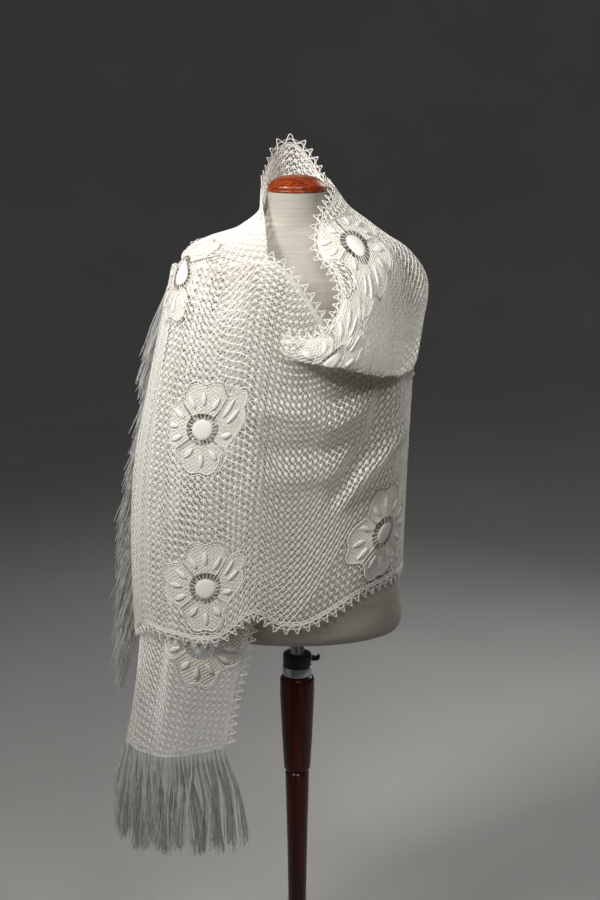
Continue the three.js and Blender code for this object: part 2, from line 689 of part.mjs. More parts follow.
// The stand: a base disc, a turned column bored for the post, and the post's clamp
function addStand() {
  addPiece("base", turned([
    [0, 0],
    [baseRadius - 6, 0],
    ...arc(baseRadius - 13, 13, 13, -58, 70, 4),
    [0, baseHeight + 3],
  ], 32), materials.darkWood);
  const columnFoot = baseHeight + 3 + seamGap;
  const boreFloor = handleTop - postHidden - boreSpare;
  const boreRadius = postRadius + postClearance;
  addPiece("column", turned([
    [0, columnFoot],
    [34, columnFoot],
    [31, columnFoot + 14],
    [20, stemFootTop],
    [16.5, stemFootTop + 40],
    [16, 237],
    [18.5, 370],
    [21, stemTop],
    [18, stemTop + 2],
    [18, handleBottom - 2],
    [23.2, handleBottom],
    [25, handleBottom + 30],
    [28, handleBottom + 90],
    [handleRadius, handleTop - 36],
    ...arc(handleRadius - 9, handleTop - 9, 9, 10, 90, 4),
    [boreRadius, handleTop],
    [boreRadius, boreFloor],
    [0, boreFloor],
  ], 18), materials.darkWood);
  const ringFoot = handleTop + seamGap;
  addPiece("chrome_ring", turned([
    [boreRadius, ringFoot],
    [ringRadius - 1.5, ringFoot],
    [ringRadius, ringFoot + 1.5],
    [ringRadius, ringFoot + ringHeight - 1.5],
    [ringRadius - 1.5, ringFoot + ringHeight],
    [boreRadius, ringFoot + ringHeight],
    [boreRadius, ringFoot],
  ], 18), materials.chrome);
  const collarFoot = ringFoot + ringHeight + seamGap;
  addPiece("clamp_collar", turned([
    [boreRadius, collarFoot],
    [collarRadius, collarFoot],
    [collarRadius, collarFoot + collarHeight - 4],
    [collarRadius - 3, collarFoot + collarHeight],
    [boreRadius, collarFoot + collarHeight],
    [boreRadius, collarFoot],
  ], 18), materials.blackPlastic);
  const lever = new THREE.Shape();
  lever.moveTo(0, -4);
  lever.lineTo(9, -4);
  lever.quadraticCurveTo(13, -3.4, 15, 1);
  lever.quadraticCurveTo(15.4, 4.4, 12, 4.6);
  lever.lineTo(8, 1.2);
  lever.lineTo(0, 4);
  lever.closePath();
  const leverSolid = new THREE.ExtrudeGeometry(lever, { depth: 12, bevelEnabled: false, curveSegments: 4 });
  leverSolid.rotateX(Math.PI / 2);
  leverSolid.translate(collarRadius + seamGap, 6, collarFoot + collarHeight / 2 + 2);
  addPiece("clamp_lever", leverSolid, materials.blackPlastic);
  const postLength = formBottom - seamGap - (handleTop - postHidden);
  const post = new THREE.CylinderGeometry(postRadius, postRadius, postLength, 20);
  post.rotateX(Math.PI / 2);
  post.translate(0, 0, formBottom - seamGap - postLength / 2);
  addPiece("post", post, materials.chrome);
}

// The form: an oval torso up to the neck, and the wooden cap that closes the neck
function addForm() {
  addPiece("form_torso", ringSolid(formSections, formSides), materials.linen);
  const capFoot = neckTop + seamGap;
  addPiece("neck_cap", turned([
    [0, capFoot],
    [neckRadius - 1, capFoot],
    [neckRadius, capFoot + 1.5],
    [neckRadius, capFoot + 8],
    [neckRadius * 0.96, capFoot + 13],
    [neckRadius * 0.8, capFoot + 20],
    [neckRadius * 0.5, capFoot + 25],
    [0, capFoot + capHeight],
  ], 20), materials.capWood);
}

const cloths = {
  shawl_end_a: drape(endASections, endAFolds),
  shawl_back: drape(backSections, backFolds),
  shawl_cowl: drape(cowlSections, cowlFolds, pleatCell),
  shawl_front_wrap: drape(wrapSections, wrapFolds),
  shawl_end_b: drape(endBSections, endBFolds),
};

function addShawl() {
  for (const [name, cloth] of Object.entries(cloths)) {
    addPiece(name, cutRings(clothWall(cloth, flowers[name]), cloth, flowers[name]), materials.lace);
  }
  addPiece("edge_end_a", picotEdge(cloths.shawl_end_a, "end", 0.66, 1), materials.lace);
  addPiece("edge_collar", picotEdge(cloths.shawl_back, "top"), materials.lace);
  addPiece("edge_back_hem", picotEdge(cloths.shawl_back, "bottom"), materials.lace);
  addPiece("edge_neckline", picotEdge(cloths.shawl_cowl, "top"), materials.lace);
  addPiece("edge_wrap_top", picotEdge(cloths.shawl_front_wrap, "top", 0.45, 0.68), materials.lace);
  addPiece("edge_wrap_hem", picotEdge(cloths.shawl_front_wrap, "bottom"), materials.lace);
  addPiece("edge_end_b_hem", picotEdge(cloths.shawl_end_b, "bottom"), materials.lace);
}

// The hanging end's strands fall straight with a little spread
function hangRoute(k, share, root) {
  const sway = 2.4 * Math.sin(2.1 * k);
  const lift = 9 * Math.sin(1.7 * k + 1) + 6;
  return [root.clone().add(new THREE.Vector3(sway, -0.6 * sway, lift - fringeLength))];
}

// The side end's strands leave the cloth's edge and hang at a slant, side by side. The slant is
// steeper towards the top, where the edge itself leans outwards.
const droopStart = 5;
const droopSlope = 0.26;
const droopSlopeTop = 0.12;
const droopSideTop = 0.18;

function droopRoute(k, share, root, side, out) {
  const top = 1 - share;
  const at = (fall) => root.clone()
    .addScaledVector(side, droopStart + droopSideTop * top * fall)
    .addScaledVector(out, (droopSlope + droopSlopeTop * top) * fall)
    .add(new THREE.Vector3(0, 0, -fall));
  return [at(0), at(fringeLength - 6 + 5 * Math.sin(1.9 * k))];
}

addStand();
addForm();
addShawl();
addPiece("fringe_a", fringe(cloths.shawl_end_a, "hem", 42, hangRoute), materials.fringe);
addPiece("fringe_b", fringe(cloths.shawl_end_b, "end", 42, droopRoute), materials.fringe);

export default shawlStand;
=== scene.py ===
import math
import random

import bmesh
import bpy
import numpy as np
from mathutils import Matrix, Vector


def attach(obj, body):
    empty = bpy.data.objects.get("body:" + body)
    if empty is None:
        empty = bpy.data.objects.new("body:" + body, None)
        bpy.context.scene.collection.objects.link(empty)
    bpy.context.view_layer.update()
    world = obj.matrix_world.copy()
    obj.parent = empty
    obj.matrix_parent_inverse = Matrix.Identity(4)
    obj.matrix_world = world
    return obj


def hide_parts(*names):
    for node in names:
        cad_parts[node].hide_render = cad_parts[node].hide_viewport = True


# A bobbin lace shawl wound round a linen dress form on a turned wooden stand.
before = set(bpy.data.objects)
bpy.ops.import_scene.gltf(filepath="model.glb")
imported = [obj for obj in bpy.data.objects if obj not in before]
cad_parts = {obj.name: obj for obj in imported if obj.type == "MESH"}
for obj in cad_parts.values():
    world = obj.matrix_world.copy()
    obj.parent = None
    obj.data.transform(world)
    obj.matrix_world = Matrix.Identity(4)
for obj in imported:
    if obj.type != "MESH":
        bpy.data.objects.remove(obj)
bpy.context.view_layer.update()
mm = 0.001
random.seed(7)


def hexColour(code):
    parts = [int(code[i:i + 2], 16) / 255 for i in (1, 3, 5)]
    return [c / 12.92 if c <= 0.04045 else ((c + 0.055) / 1.055) ** 2.4 for c in parts] + [1.0]


def addNode(tree, kind, settings=None, links=None):
    node = tree.nodes.new(kind)
    for key, value in (settings or {}).items():
        if isinstance(key, str) and hasattr(node, key):
            setattr(node, key, value)
        else:
            node.inputs[key].default_value = value
    for key, source in (links or {}).items():
        tree.links.new(source, node.inputs[key])
    return node


def newMaterial(name, surface):
    material = bpy.data.materials.new(name)
    material.use_nodes = True
    tree = material.node_tree
    shader = tree.nodes["Principled BSDF"]
    for key, value in surface.items():
        shader.inputs[key].default_value = value
    return material, tree, shader


def colourRamp(tree, factor, stops):
    ramp = addNode(tree, "ShaderNodeValToRGB", links={"Fac": factor})
    while len(ramp.color_ramp.elements) < len(stops):
        ramp.color_ramp.elements.new(0.5)
    for element, (place, colour) in zip(ramp.color_ramp.elements, stops):
        element.position = place
        element.color = hexColour(colour)
    return ramp


# The camera stands 2.75 m in front of the axis, above the cap, and looks down a little
view = {"back": 2.75, "height": 1.722, "side": 0.005, "pitch": 13.5, "lens": 66.84}
cameraData = bpy.data.cameras.new("photoCamera")
cameraData.lens = view["lens"]
cameraData.sensor_width = 36
camera = bpy.data.objects.new("photoCamera", cameraData)
camera.location = (view["side"], -view["back"], view["height"])
camera.rotation_euler = (math.radians(90 - view["pitch"]), 0, 0)
bpy.context.collection.objects.link(camera)
bpy.context.scene.camera = camera
print("camera set")

# The drape: each stretch's sections in millimetres, a row for each line across the strip,
# with the angle round the axis, the distance from it and the height, level by level
drapes = {
    "endA": {
        "netFrom": [0, 0],
        "angles": [262, [267, 274, 280, 283, 284, 284, 284, 284, 284, 284, 284],
                   [273, 289, 298, 302, 304, 304, 304, 304, 303, 301, 300],
                   [279, 303, 315, 321, 323, 322, 322, 321, 318, 309, 307],
                   [284, 314, 330, 338, 340, 338, 337, 335, 328, 316, 313]],
        "radii": [[58, 60, 98, 153, 190, 209, 234, 250, 262, 280, 298],
                  [58, 62, 98, 152, 187, 206, 232, 247, 257, 273, 290],
                  [58, 66, 98, 141, 166, 189, 210, 224, 230, 238, 246],
                  [58, 69, 98, 130, 148, 160, 165, 168, 178, 190, 196],
                  [58, 72, 97, 122, 133, 138, 136, 137, 148, 160, 168]],
        "heights": [[1502, 1464, 1436, 1418, 1386, 1270, 1140, 975, 800, 660, 570],
                    [1502, 1463, 1435, 1416, 1382, 1270, 1140, 975, 800, 655, 558],
                    [1501, 1461, 1433, 1411, 1375, 1270, 1140, 972, 800, 655, 562],
                    [1500, 1459, 1431, 1405, 1364, 1270, 1140, 970, 800, 655, 568],
                    [1499, 1458, 1428, 1400, 1355, 1268, 1138, 968, 800, 655, 576]],
        "folds": [[0.62, 0.42, 0.54, 1, 10, 8], [0.5, 0.45, 0.45, 1, 10, -6], [0.25, 0.4, 0.27, 1, 18, 7],
                  [0.05, 0.5, 0.1, 1, 16, -5]],
        "flowers": [[0.714, 0.8], [0.307, 0.201]],
    },
    "back": {
        "netFrom": [1, 0],
        "angles": [93, 112, 138, 162, 184, 208, 234, 261.6],
        "radii": [[64, 94, 139, 182, 203, 197, 189, 182], [61, 80, 126, 166, 181, 181, 176, 172],
                  [62, 69, 98, 126, 146, 151, 147, 146], [63, 65, 80, 108, 131, 137, 133, 137],
                  [63, 65, 78, 105, 129, 135, 131, 138], [62, 66, 88, 116, 140, 150, 151, 160],
                  [60, 66, 102, 140, 170, 188, 203, 214], [58, 60, 98, 153, 190, 226, 258, 294]],
        "heights": [[1500, 1461, 1429, 1398, 1345, 1235, 1060, 862],
                    [1500, 1462, 1430, 1392, 1325, 1210, 1050, 880],
                    [1508, 1474, 1438, 1396, 1315, 1190, 1050, 905],
                    [1542, 1494, 1444, 1400, 1312, 1185, 1050, 915],
                    [1567, 1504, 1448, 1402, 1312, 1180, 1035, 895],
                    [1560, 1500, 1446, 1402, 1305, 1155, 985, 820],
                    [1522, 1474, 1438, 1408, 1300, 1110, 900, 700],
                    [1502, 1464, 1436, 1418, 1386, 1180, 880, 578]],
        "folds": [[0.14, 0.35, 0.2, 0.95, 20, 5], [0.38, 0.4, 0.34, 0.98, 17, 6],
                  [0.55, 0.36, 0.58, 0.97, 19, 7],
                  [0.74, 0.3, 0.7, 0.96, 18, 6], [0.2, 0.2, 0.75, 0.22, 14, 4]],
        "flowers": [[0.1, 0.55], [0.32, 0.82], [0.62, 0.82], [0.5, 0.16]],
    },
    "cowl": {
        "netFrom": [0, 0],
        "evenColumns": True,
        "angles": [92.6, [66, 80, 84, 84, 82, 80, 78, 76], [33, 56, 66, 68, 68, 66, 64, 62],
                   [21, 38, 48, 52, 52, 50, 50, 49], [27, 33, 37, 38, 38, 37, 36, 36],
                   [26, 27, 28, 28, 27, 26, 25, 25], [15, 16, 17, 17, 16, 15, 14, 14],
                   [4, 3, 3, 3, 2, 2, 2, 2],
                   [-8, -8.5, -9, -9, -9, -9, -8.5, -8]],
        "radii": [[64, 94, 139, 182, 203, 199, 197, 196.5], [67, 98, 143, 186, 215, 209, 198, 190],
                  [81, 101, 136, 175, 196, 197, 184, 171], [104, 122, 152, 176, 186, 190, 184, 171],
                  [145, 157, 171, 182, 188, 192, 188, 172], [166, 172, 178, 184, 188, 192, 189, 172],
                  [172, 176, 180, 183, 185, 186, 183, 168], [168, 171, 174, 176, 177, 177, 174, 162],
                  [163, 165, 166, 167, 167, 166, 165, 161]],
        "heights": [[1500, 1461, 1429, 1398, 1345, 1285, 1246, 1242],
                    [1486, 1463, 1428, 1398, 1352, 1280, 1214, 1232],
                    [1462, 1452, 1426, 1392, 1330, 1266, 1203, 1226],
                    [1416, 1420, 1400, 1366, 1305, 1258, 1210, 1230],
                    [1378, 1376, 1354, 1324, 1284, 1250, 1221, 1240],
                    [1334, 1328, 1313, 1294, 1272, 1250, 1232, 1250],
                    [1288, 1285, 1280, 1272, 1262, 1251, 1240, 1255],
                    [1277, 1273, 1269, 1264, 1259, 1253, 1246, 1256],
                    [1277, 1274, 1271, 1268, 1265, 1262, 1258, 1259]],
        "folds": [[0.27, 0.04, 0.31, 0.46, 11, 5], [0.36, 0.04, 0.4, 0.44, 11, 4],
                  [0.47, 0.06, 0.48, 0.36, 11, 2],
                  [0.13, 0.2, 0.18, 0.7, 16, 5], [0.6, 0.5, 0.88, 0.42, 10, 3]],
        "flowers": [[0.377, 0.181], [0.77, 0.72, 45]],
    },
    "wrap": {
        "netFrom": [1, 1],
        "angles": [92.6, 76, 60, 42, 22, 4, -12, -26, -42, -60],
        "radii": [[194.5, 193, 190, 187, 185, 183, 182], [179, 183, 181, 177, 174, 173, 173],
                  [163, 167, 165, 159, 156, 156, 158], [151, 154, 150, 142, 139, 140, 144],
                  [146, 148, 144, 134, 129, 129, 133], [147, 149, 145, 135, 129, 129, 134],
                  [144, 150, 149, 142, 139, 140, 143], [143, 160, 163, 160, 160, 163, 167],
                  [158, 182, 188, 190, 193, 198, 203], [184, 212, 228, 242, 250, 253, 254]],
        "heights": [[1236, 1170, 1105, 1040, 975, 915, 862], [1256, 1190, 1120, 1050, 980, 915, 861],
                    [1266, 1200, 1122, 1050, 978, 912, 855], [1272, 1210, 1130, 1052, 976, 905, 843],
                    [1279, 1220, 1140, 1060, 975, 890, 817], [1346, 1258, 1170, 1080, 985, 890, 800],
                    [1391, 1298, 1200, 1100, 1000, 898, 802], [1398, 1308, 1206, 1105, 1002, 900, 826],
                    [1396, 1300, 1198, 1094, 988, 882, 782], [1391, 1290, 1185, 1080, 975, 875, 786]],
        "folds": [[0.21, 0.12, 0.27, 0.45, 15, -11], [0.26, 0.38, 0.4, 0.6, 16, -10],
                  [0.08, 0.34, 0.36, 0.62, 16, 11],
                  [0.3, 0.27, 0.72, 0.43, 15, 8], [0.25, 0.16, 0.58, 0.29, 13, -8],
                  [0.33, 0.37, 0.66, 0.52, 14, -8],
                  [0.38, 0.48, 0.68, 0.61, 15, 6], [0.7, 0.3, 0.72, 0.75, 12, 4],
                  [0.92, 0.02, 0.8, 0.12, 11, -6],
                  [0.9, 0.08, 0.78, 0.2, 13, 6], [0.12, 0.62, 0.3, 0.95, 22, 7]],
        "flowers": [[0.196, 0.799], [0.889, 0.437], [0.869, 0.864]],
    },
    "endB": {
        "netFrom": [0, 1],
        "angles": [-60.15, -70, -82, -92, -101],
        "radii": [[184, 212, 228, 242, 250, 253, 254], [196, 221, 240, 256, 266, 269, 270],
                  [204, 225, 246, 266, 276, 279, 279], [205, 224, 244, 265, 275, 278, 279],
                  [206, 223, 243, 263, 273, 277, 278]],
        "heights": [[1391, 1290, 1185, 1080, 975, 875, 786], [1386, 1282, 1176, 1072, 966, 866, 788],
                    [1380, 1276, 1170, 1066, 960, 860, 762], [1376, 1272, 1168, 1064, 960, 860, 766],
                    [1374, 1270, 1166, 1062, 958, 860, 772]],
        "folds": [[0.2, 0.06, 0.16, 0.95, 12, 6], [0.62, 0.1, 0.58, 0.95, 14, 5]],
        "flowers": [[0.206, 0.031]],
    },
}
# The fine grid of each stretch in millimetres, and the tables that turn real lengths into shares
gridding = {"cell": 5, "perLevel": 14, "tableStep": 4.0, "margin": 20, "rounds": 7, "miss": 2.5}
nodeOf = {"endA": "shawl_end_a", "back": "shawl_back", "cowl": "shawl_cowl", "wrap": "shawl_front_wrap",
          "endB": "shawl_end_b"}


def throughRows(knots, values, at):  # a smooth curve through the rows; values has a row for each knot
    knots, values, at = np.asarray(knots, float), np.asarray(values, float), np.asarray(at, float)
    i = np.clip(np.searchsorted(knots, at, side="right") - 1, 0, len(knots) - 2)
    slopes = np.empty_like(values)
    slopes[1:-1] = (values[2:] - values[:-2]) / (knots[2:] - knots[:-2])[:, None]
    slopes[0] = (values[1] - values[0]) / (knots[1] - knots[0])
    slopes[-1] = (values[-1] - values[-2]) / (knots[-1] - knots[-2])
    span = (knots[i + 1] - knots[i])[:, None]
    u = (at - knots[i])[:, None] / span
    return ((2 * u ** 3 - 3 * u ** 2 + 1) * values[i] + (u ** 3 - 2 * u ** 2 + u) * span * slopes[i]
            + (3 * u ** 2 - 2 * u ** 3) * values[i + 1] + (u ** 3 - u ** 2) * span * slopes[i + 1])


def roundAxis(angle, radius, height):
    a = np.radians(angle)
    return np.stack([radius * np.sin(a), -radius * np.cos(a), height], -1)


def gridNormals(grid, sign):
    normals = np.cross(np.gradient(grid, axis=0), np.gradient(grid, axis=1)) * sign
    return normals / np.linalg.norm(normals, axis=-1, keepdims=True)


def stepsAlong(grid, axis):  # real lengths along the grid's lines, from nothing at the first point
    lengths = np.linalg.norm(np.diff(grid, axis=axis), axis=-1)
    start = np.zeros_like(np.take(lengths, [0], axis=axis))
    return np.concatenate([start, np.cumsum(lengths, axis=axis)], axis=axis)


def fromLengths(lengths, wanted):
    # For each line of lengths, the share at each wanted length, carried on past both ends
    shares = np.linspace(0, 1, lengths.shape[1])
    table = np.empty((lengths.shape[0], len(wanted)))
    for i, line in enumerate(lengths):
        table[i] = np.interp(wanted, line, shares)
        table[i] += np.minimum(wanted - line[0], 0) / (line[-1] - line[0])
        table[i] += np.maximum(wanted - line[-1], 0) / (line[-1] - line[0])
    return table


def makeCloth(rows):  # the stretch's middle surface on a fine grid, in millimetres
    levels = len(rows["radii"][0])
    angles = np.array([a if isinstance(a, list) else [a] * levels for a in rows["angles"]], float)
    radii, heights = np.array(rows["radii"], float), np.array(rows["heights"], float)
    corners = roundAxis(angles, radii, heights)
    knots = np.concatenate([[0], np.cumsum(np.linalg.norm(np.diff(corners, axis=0), axis=-1).mean(1))])
    length = knots[-1]
    columns = int(length / gridding["cell"]) + 1
    shares = np.linspace(0, 1, columns + 1)
    lines = [throughRows(knots, table, shares * length) for table in (angles, radii, heights)]
    steps = np.linspace(0, levels - 1, gridding["perLevel"] * (levels - 1) + 1)
    dense = [throughRows(np.arange(levels), table.T, steps).T for table in lines]
    points = roundAxis(*dense)
    reach = stepsAlong(points, 1)
    width = float(np.interp(0.5, shares, reach[:, -1]))
    down = int(width / gridding["cell"]) + 1
    grid = np.empty((columns + 1, down + 1, 3))
    for i in range(columns + 1):
        want = np.linspace(0, reach[i, -1], down + 1)
        for axis in range(3):
            grid[i, :, axis] = np.interp(want, reach[i], points[i, :, axis])
    middle = (columns // 2, int(down * 0.4))
    sign = 1 if np.dot(gridNormals(grid, 1)[middle][:2], grid[middle][:2]) > 0 else -1
    normals = gridNormals(grid, sign)
    u, v = np.meshgrid(np.linspace(0, length, columns + 1), np.linspace(0, width, down + 1),
                       indexing="ij")
    rise = np.zeros_like(u)
    for s0, t0, s1, t1, half, lift in rows["folds"]:
        fromX, fromY = s0 * length, t0 * width
        lineX, lineY = s1 * length - fromX, t1 * width - fromY
        near = np.clip(((u - fromX) * lineX + (v - fromY) * lineY) / (lineX ** 2 + lineY ** 2), 0, 1)
        away = np.hypot(u - fromX - near * lineX, v - fromY - near * lineY)
        rise += lift * np.sin(np.pi * np.clip(0.12 + 0.76 * near, 0, 1)) * np.exp(-(away / half) ** 2)
    grid = grid + normals * rise[..., None]
    cloth = {"grid": grid, "normals": gridNormals(grid, sign), "length": float(length), "width": width,
             "columns": columns, "down": down}
    alongFrom, downFrom = rows["netFrom"]
    along, depth = stepsAlong(grid, 0), stepsAlong(grid, 1)
    if rows.get("evenColumns"):  # a gathered stretch, where the net's columns follow the sections
        along[:] = along.mean(axis=1, keepdims=True)
    along -= along[round(alongFrom * columns)][None, :]
    depth -= depth[:, round(downFrom * down)][:, None]
    margin, step = gridding["margin"], gridding["tableStep"]
    cloth["flatFrom"] = (along.min() - margin, depth.min() - margin)
    cloth["flatTo"] = (along.max() + margin, depth.max() + margin)
    wanted = [np.arange(cloth["flatFrom"][k], cloth["flatTo"][k] + step, step) for k in (0, 1)]
    cloth["alongTable"] = fromLengths(along.T, wanted[0])
    cloth["depthTable"] = fromLengths(depth, wanted[1])
    cloth["along"], cloth["depth"] = along, depth
    cloth["flowers"] = []
    for s, t, *turn in rows["flowers"]:
        x, y = [float(blend(table, s * columns, t * down)) for table in (along, depth)]
        cloth["flowers"].append((x, y, math.radians(turn[0] if turn else 0)))
    return cloth


def blend(table, x, y):  # values of a table between its rows and columns, carried on past its sides
    x, y = np.asarray(x, float), np.asarray(y, float)
    i = np.clip(np.floor(x).astype(int), 0, table.shape[0] - 2)
    j = np.clip(np.floor(y).astype(int), 0, table.shape[1] - 2)
    a, b = x - i, y - j
    if table.ndim == 3:
        a, b = a[..., None], b[..., None]
    return ((1 - a) * (1 - b) * table[i, j] + a * (1 - b) * table[i + 1, j]
            + (1 - a) * b * table[i, j + 1] + a * b * table[i + 1, j + 1])


def toShares(cloth, flat):  # flat places on the strip, in millimetres, as shares along and down it
    flat = np.atleast_2d(np.asarray(flat, float))
    a = (flat[:, 0] - cloth["flatFrom"][0]) / gridding["tableStep"]
    b = (flat[:, 1] - cloth["flatFrom"][1]) / gridding["tableStep"]
    s = np.full(len(flat), 0.5)
    for _ in range(gridding["rounds"]):
        t = blend(cloth["depthTable"], np.clip(s, 0, 1) * cloth["columns"], b)
        s = blend(cloth["alongTable"], np.clip(t, 0, 1) * cloth["down"], a)
    x, y = np.clip(s, -0.02, 1.02) * cloth["columns"], np.clip(t, -0.02, 1.02) * cloth["down"]
    missed = np.hypot(blend(cloth["along"], x, y) - flat[:, 0], blend(cloth["depth"], x, y) - flat[:, 1])
    inside = (s > 0) & (s < 1) & (t > 0) & (t < 1)
    return np.where(inside & (missed > gridding["miss"]), -9.0, s), t


def laySharewise(cloth, s, t, lift=0.0):
    # Places given as shares, on the draped cloth, in metres, and the cloth's outward direction there
    x, y = np.asarray(s, float) * cloth["columns"], np.asarray(t, float) * cloth["down"]
    normals = blend(cloth["normals"], np.clip(x, 0, cloth["columns"]), np.clip(y, 0, cloth["down"]))
    normals = normals / np.linalg.norm(normals, axis=-1, keepdims=True)
    return (blend(cloth["grid"], x, y) + normals * np.reshape(lift, (-1, 1))) * mm, normals


def lay(cloth, flat, lift=0.0):  # flat places on the strip, in millimetres, on the draped cloth
    return laySharewise(cloth, *toShares(cloth, flat), lift)


cloths = {name: makeCloth(rows) for name, rows in drapes.items()}
for name, cloth in cloths.items():
    print("cloth", name, round(cloth["length"]), "by", round(cloth["width"]), "mm")

flower = {
    "radius": 81, "dip": 23, "notch": 7, "notchWidth": 0.14, "disc": 16.5, "ringOut": 25, "ringThreads": 22,
    "petalIn": 26.5, "petalOut": 76, "rim": 4.5, "ladderHalf": 3.0, "ladderBars": 9,
    "leafLong": 22, "leafWide": 9, "leafThick": 1.9, "leafLift": 1.5, "slants": [(38, 5.2), (-38, 5.2)],
    "stitch": 0.55, "fine": 0.5, "cord": 0.75, "ground": 0.5,
    "lifts": {"stitch": 0.3, "fine": 0.4, "cord": 0.8},
    # each leaf's angle in its petal and distance from the heart
    "leaves": [(-0.44, 45), (0.03, 51), (0.46, 47)],
}


def flowerEdge(angle, spare=0.0):  # a flower's outline: four round petals, each with a small notch
    fromPetal = angle - np.pi / 2 * np.round(angle / (np.pi / 2))
    between = np.sin(2 * np.abs(fromPetal)) ** 4
    return (flower["radius"] + spare - flower["dip"] * between
            - flower["notch"] * np.exp(-(fromPetal / flower["notchWidth"]) ** 2))


def insideFlower(cloth, a, b, spare=0.0):
    inside = np.zeros(np.shape(a), bool)
    for x, y, turn in cloth["flowers"]:
        dx, dy = a - x, b - y
        inside |= np.hypot(dx, dy) < flowerEdge(np.arctan2(dy, dx) - turn, spare)
    return inside


def onStrip(cloth, a, b):
    s, t = toShares(cloth, np.c_[np.ravel(a), np.ravel(b)])
    return ((s >= 0) & (s <= 1) & (t >= 0) & (t <= 1)).reshape(np.shape(a))


def runsInside(lines, inside):
    # The stretches of flat lines that lie inside, with their ends set on the border
    points = np.concatenate(lines)
    owner = np.repeat(np.arange(len(lines)), [len(line) for line in lines])
    keep = inside(points[:, 0], points[:, 1])
    same = owner[1:] == owner[:-1]
    at = np.nonzero(same & (keep[1:] != keep[:-1]))[0]
    within = np.where(keep[at][:, None], points[at], points[at + 1])
    beyond = np.where(keep[at][:, None], points[at + 1], points[at])
    for _ in range(6):
        middle = (within + beyond) / 2
        good = inside(middle[:, 0], middle[:, 1])
        within[good] = middle[good]
        beyond[~good] = middle[~good]
    borders = {k: within[n:n + 1] for n, k in enumerate(at)}
    starts = np.nonzero(keep & np.r_[True, ~same | ~keep[:-1]])[0]
    stops = np.nonzero(keep & np.r_[~same | ~keep[1:], True])[0]
    runs = []
    for first, last in zip(starts, stops):
        run = [points[first:last + 1]]
        if first - 1 in borders:
            run.insert(0, borders[first - 1])
        if last in borders:
            run.append(borders[last])
        runs.append(np.concatenate(run))
    return [run for run in runs if len(run) > 1 and np.hypot(*(run[-1] - run[0])) > 1.5]


# The ground: star nodes on a level lattice, joined by level, upright and slanting threads
net = {"pitch": 11.0, "row": 12.2, "level": 0.95, "slant": 0.9, "upright": 0.6, "star": 4.1,
       "starWaist": 2.4, "starThick": 0.9, "jitter": 0.55}


def latticePlace(i, j):  # a node of the lattice, counted in half pitches and half rows
    seedA = np.sin(i * 12.9898 + j * 78.233) * 43758.5453
    seedB = np.sin(i * 39.346 + j * 11.135) * 24634.6345
    a = i * net["pitch"] / 2 + net["jitter"] * 2 * (seedA - np.floor(seedA) - 0.5)
    b = j * net["row"] / 2 + net["jitter"] * 2 * (seedB - np.floor(seedB) - 0.5)
    return a, b


def netRange(cloth):
    halfPitch, halfRow = net["pitch"] / 2, net["row"] / 2
    columns = (2 * math.floor(cloth["flatFrom"][0] / halfPitch / 2),
               math.ceil(cloth["flatTo"][0] / halfPitch))
    rows = (2 * math.floor(cloth["flatFrom"][1] / halfRow / 2), math.ceil(cloth["flatTo"][1] / halfRow))
    return columns, rows


def netLines(cloth):
    (firstColumn, lastColumn), (firstRow, lastRow) = netRange(cloth)
    even, odd = np.arange(firstColumn, lastColumn + 1, 2), np.arange(firstRow, lastRow + 1, 2)
    level = [np.c_[latticePlace(even, np.full(len(even), j))] for j in odd]
    upright = [np.c_[latticePlace(np.full(len(odd), i), odd)] for i in even]
    rows, slanting = np.arange(firstRow, lastRow + 1), []
    span = lastRow - firstRow
    for lean in (1, -1):
        for start in range(firstColumn - 2 * (span // 2 + 1), lastColumn + span + 2, 2):
            columns = start + lean * (rows - firstRow)
            keep = (columns >= firstColumn) & (columns <= lastColumn)
            if keep.sum() > 1:
                slanting.append(np.c_[latticePlace(columns[keep], rows[keep])])

    def ground(a, b):
        return onStrip(cloth, a, b) & ~insideFlower(cloth, a, b)
    return [(runsInside(lines, ground), net[kind]) for lines, kind in
            ((level, "level"), (slanting, "slant"), (upright, "upright"))]


def netStars(cloth):
    (firstColumn, lastColumn), (firstRow, lastRow) = netRange(cloth)
    i, j = np.meshgrid(np.arange(firstColumn, lastColumn, 2), np.arange(firstRow, lastRow, 2),
                       indexing="ij")
    a, b = latticePlace(i.ravel(), j.ravel())
    s, t = toShares(cloth, np.c_[a, b])
    sideGap, endGap = 3 / cloth["length"], 3 / cloth["width"]
    keep = (s > sideGap) & (s < 1 - sideGap) & (t > endGap) & (t < 1 - endGap)
    keep &= ~insideFlower(cloth, a, b, 3.0)
    return np.c_[a, b][keep]


def openArea(cloth):  # the part of the strip that no flower covers
    step = gridding["tableStep"]
    a, b = np.meshgrid(*[np.arange(cloth["flatFrom"][k], cloth["flatTo"][k], step) for k in (0, 1)])
    on = onStrip(cloth, a, b)
    return cloth["length"] * cloth["width"] * float((on & ~insideFlower(cloth, a, b)).sum() / on.sum())


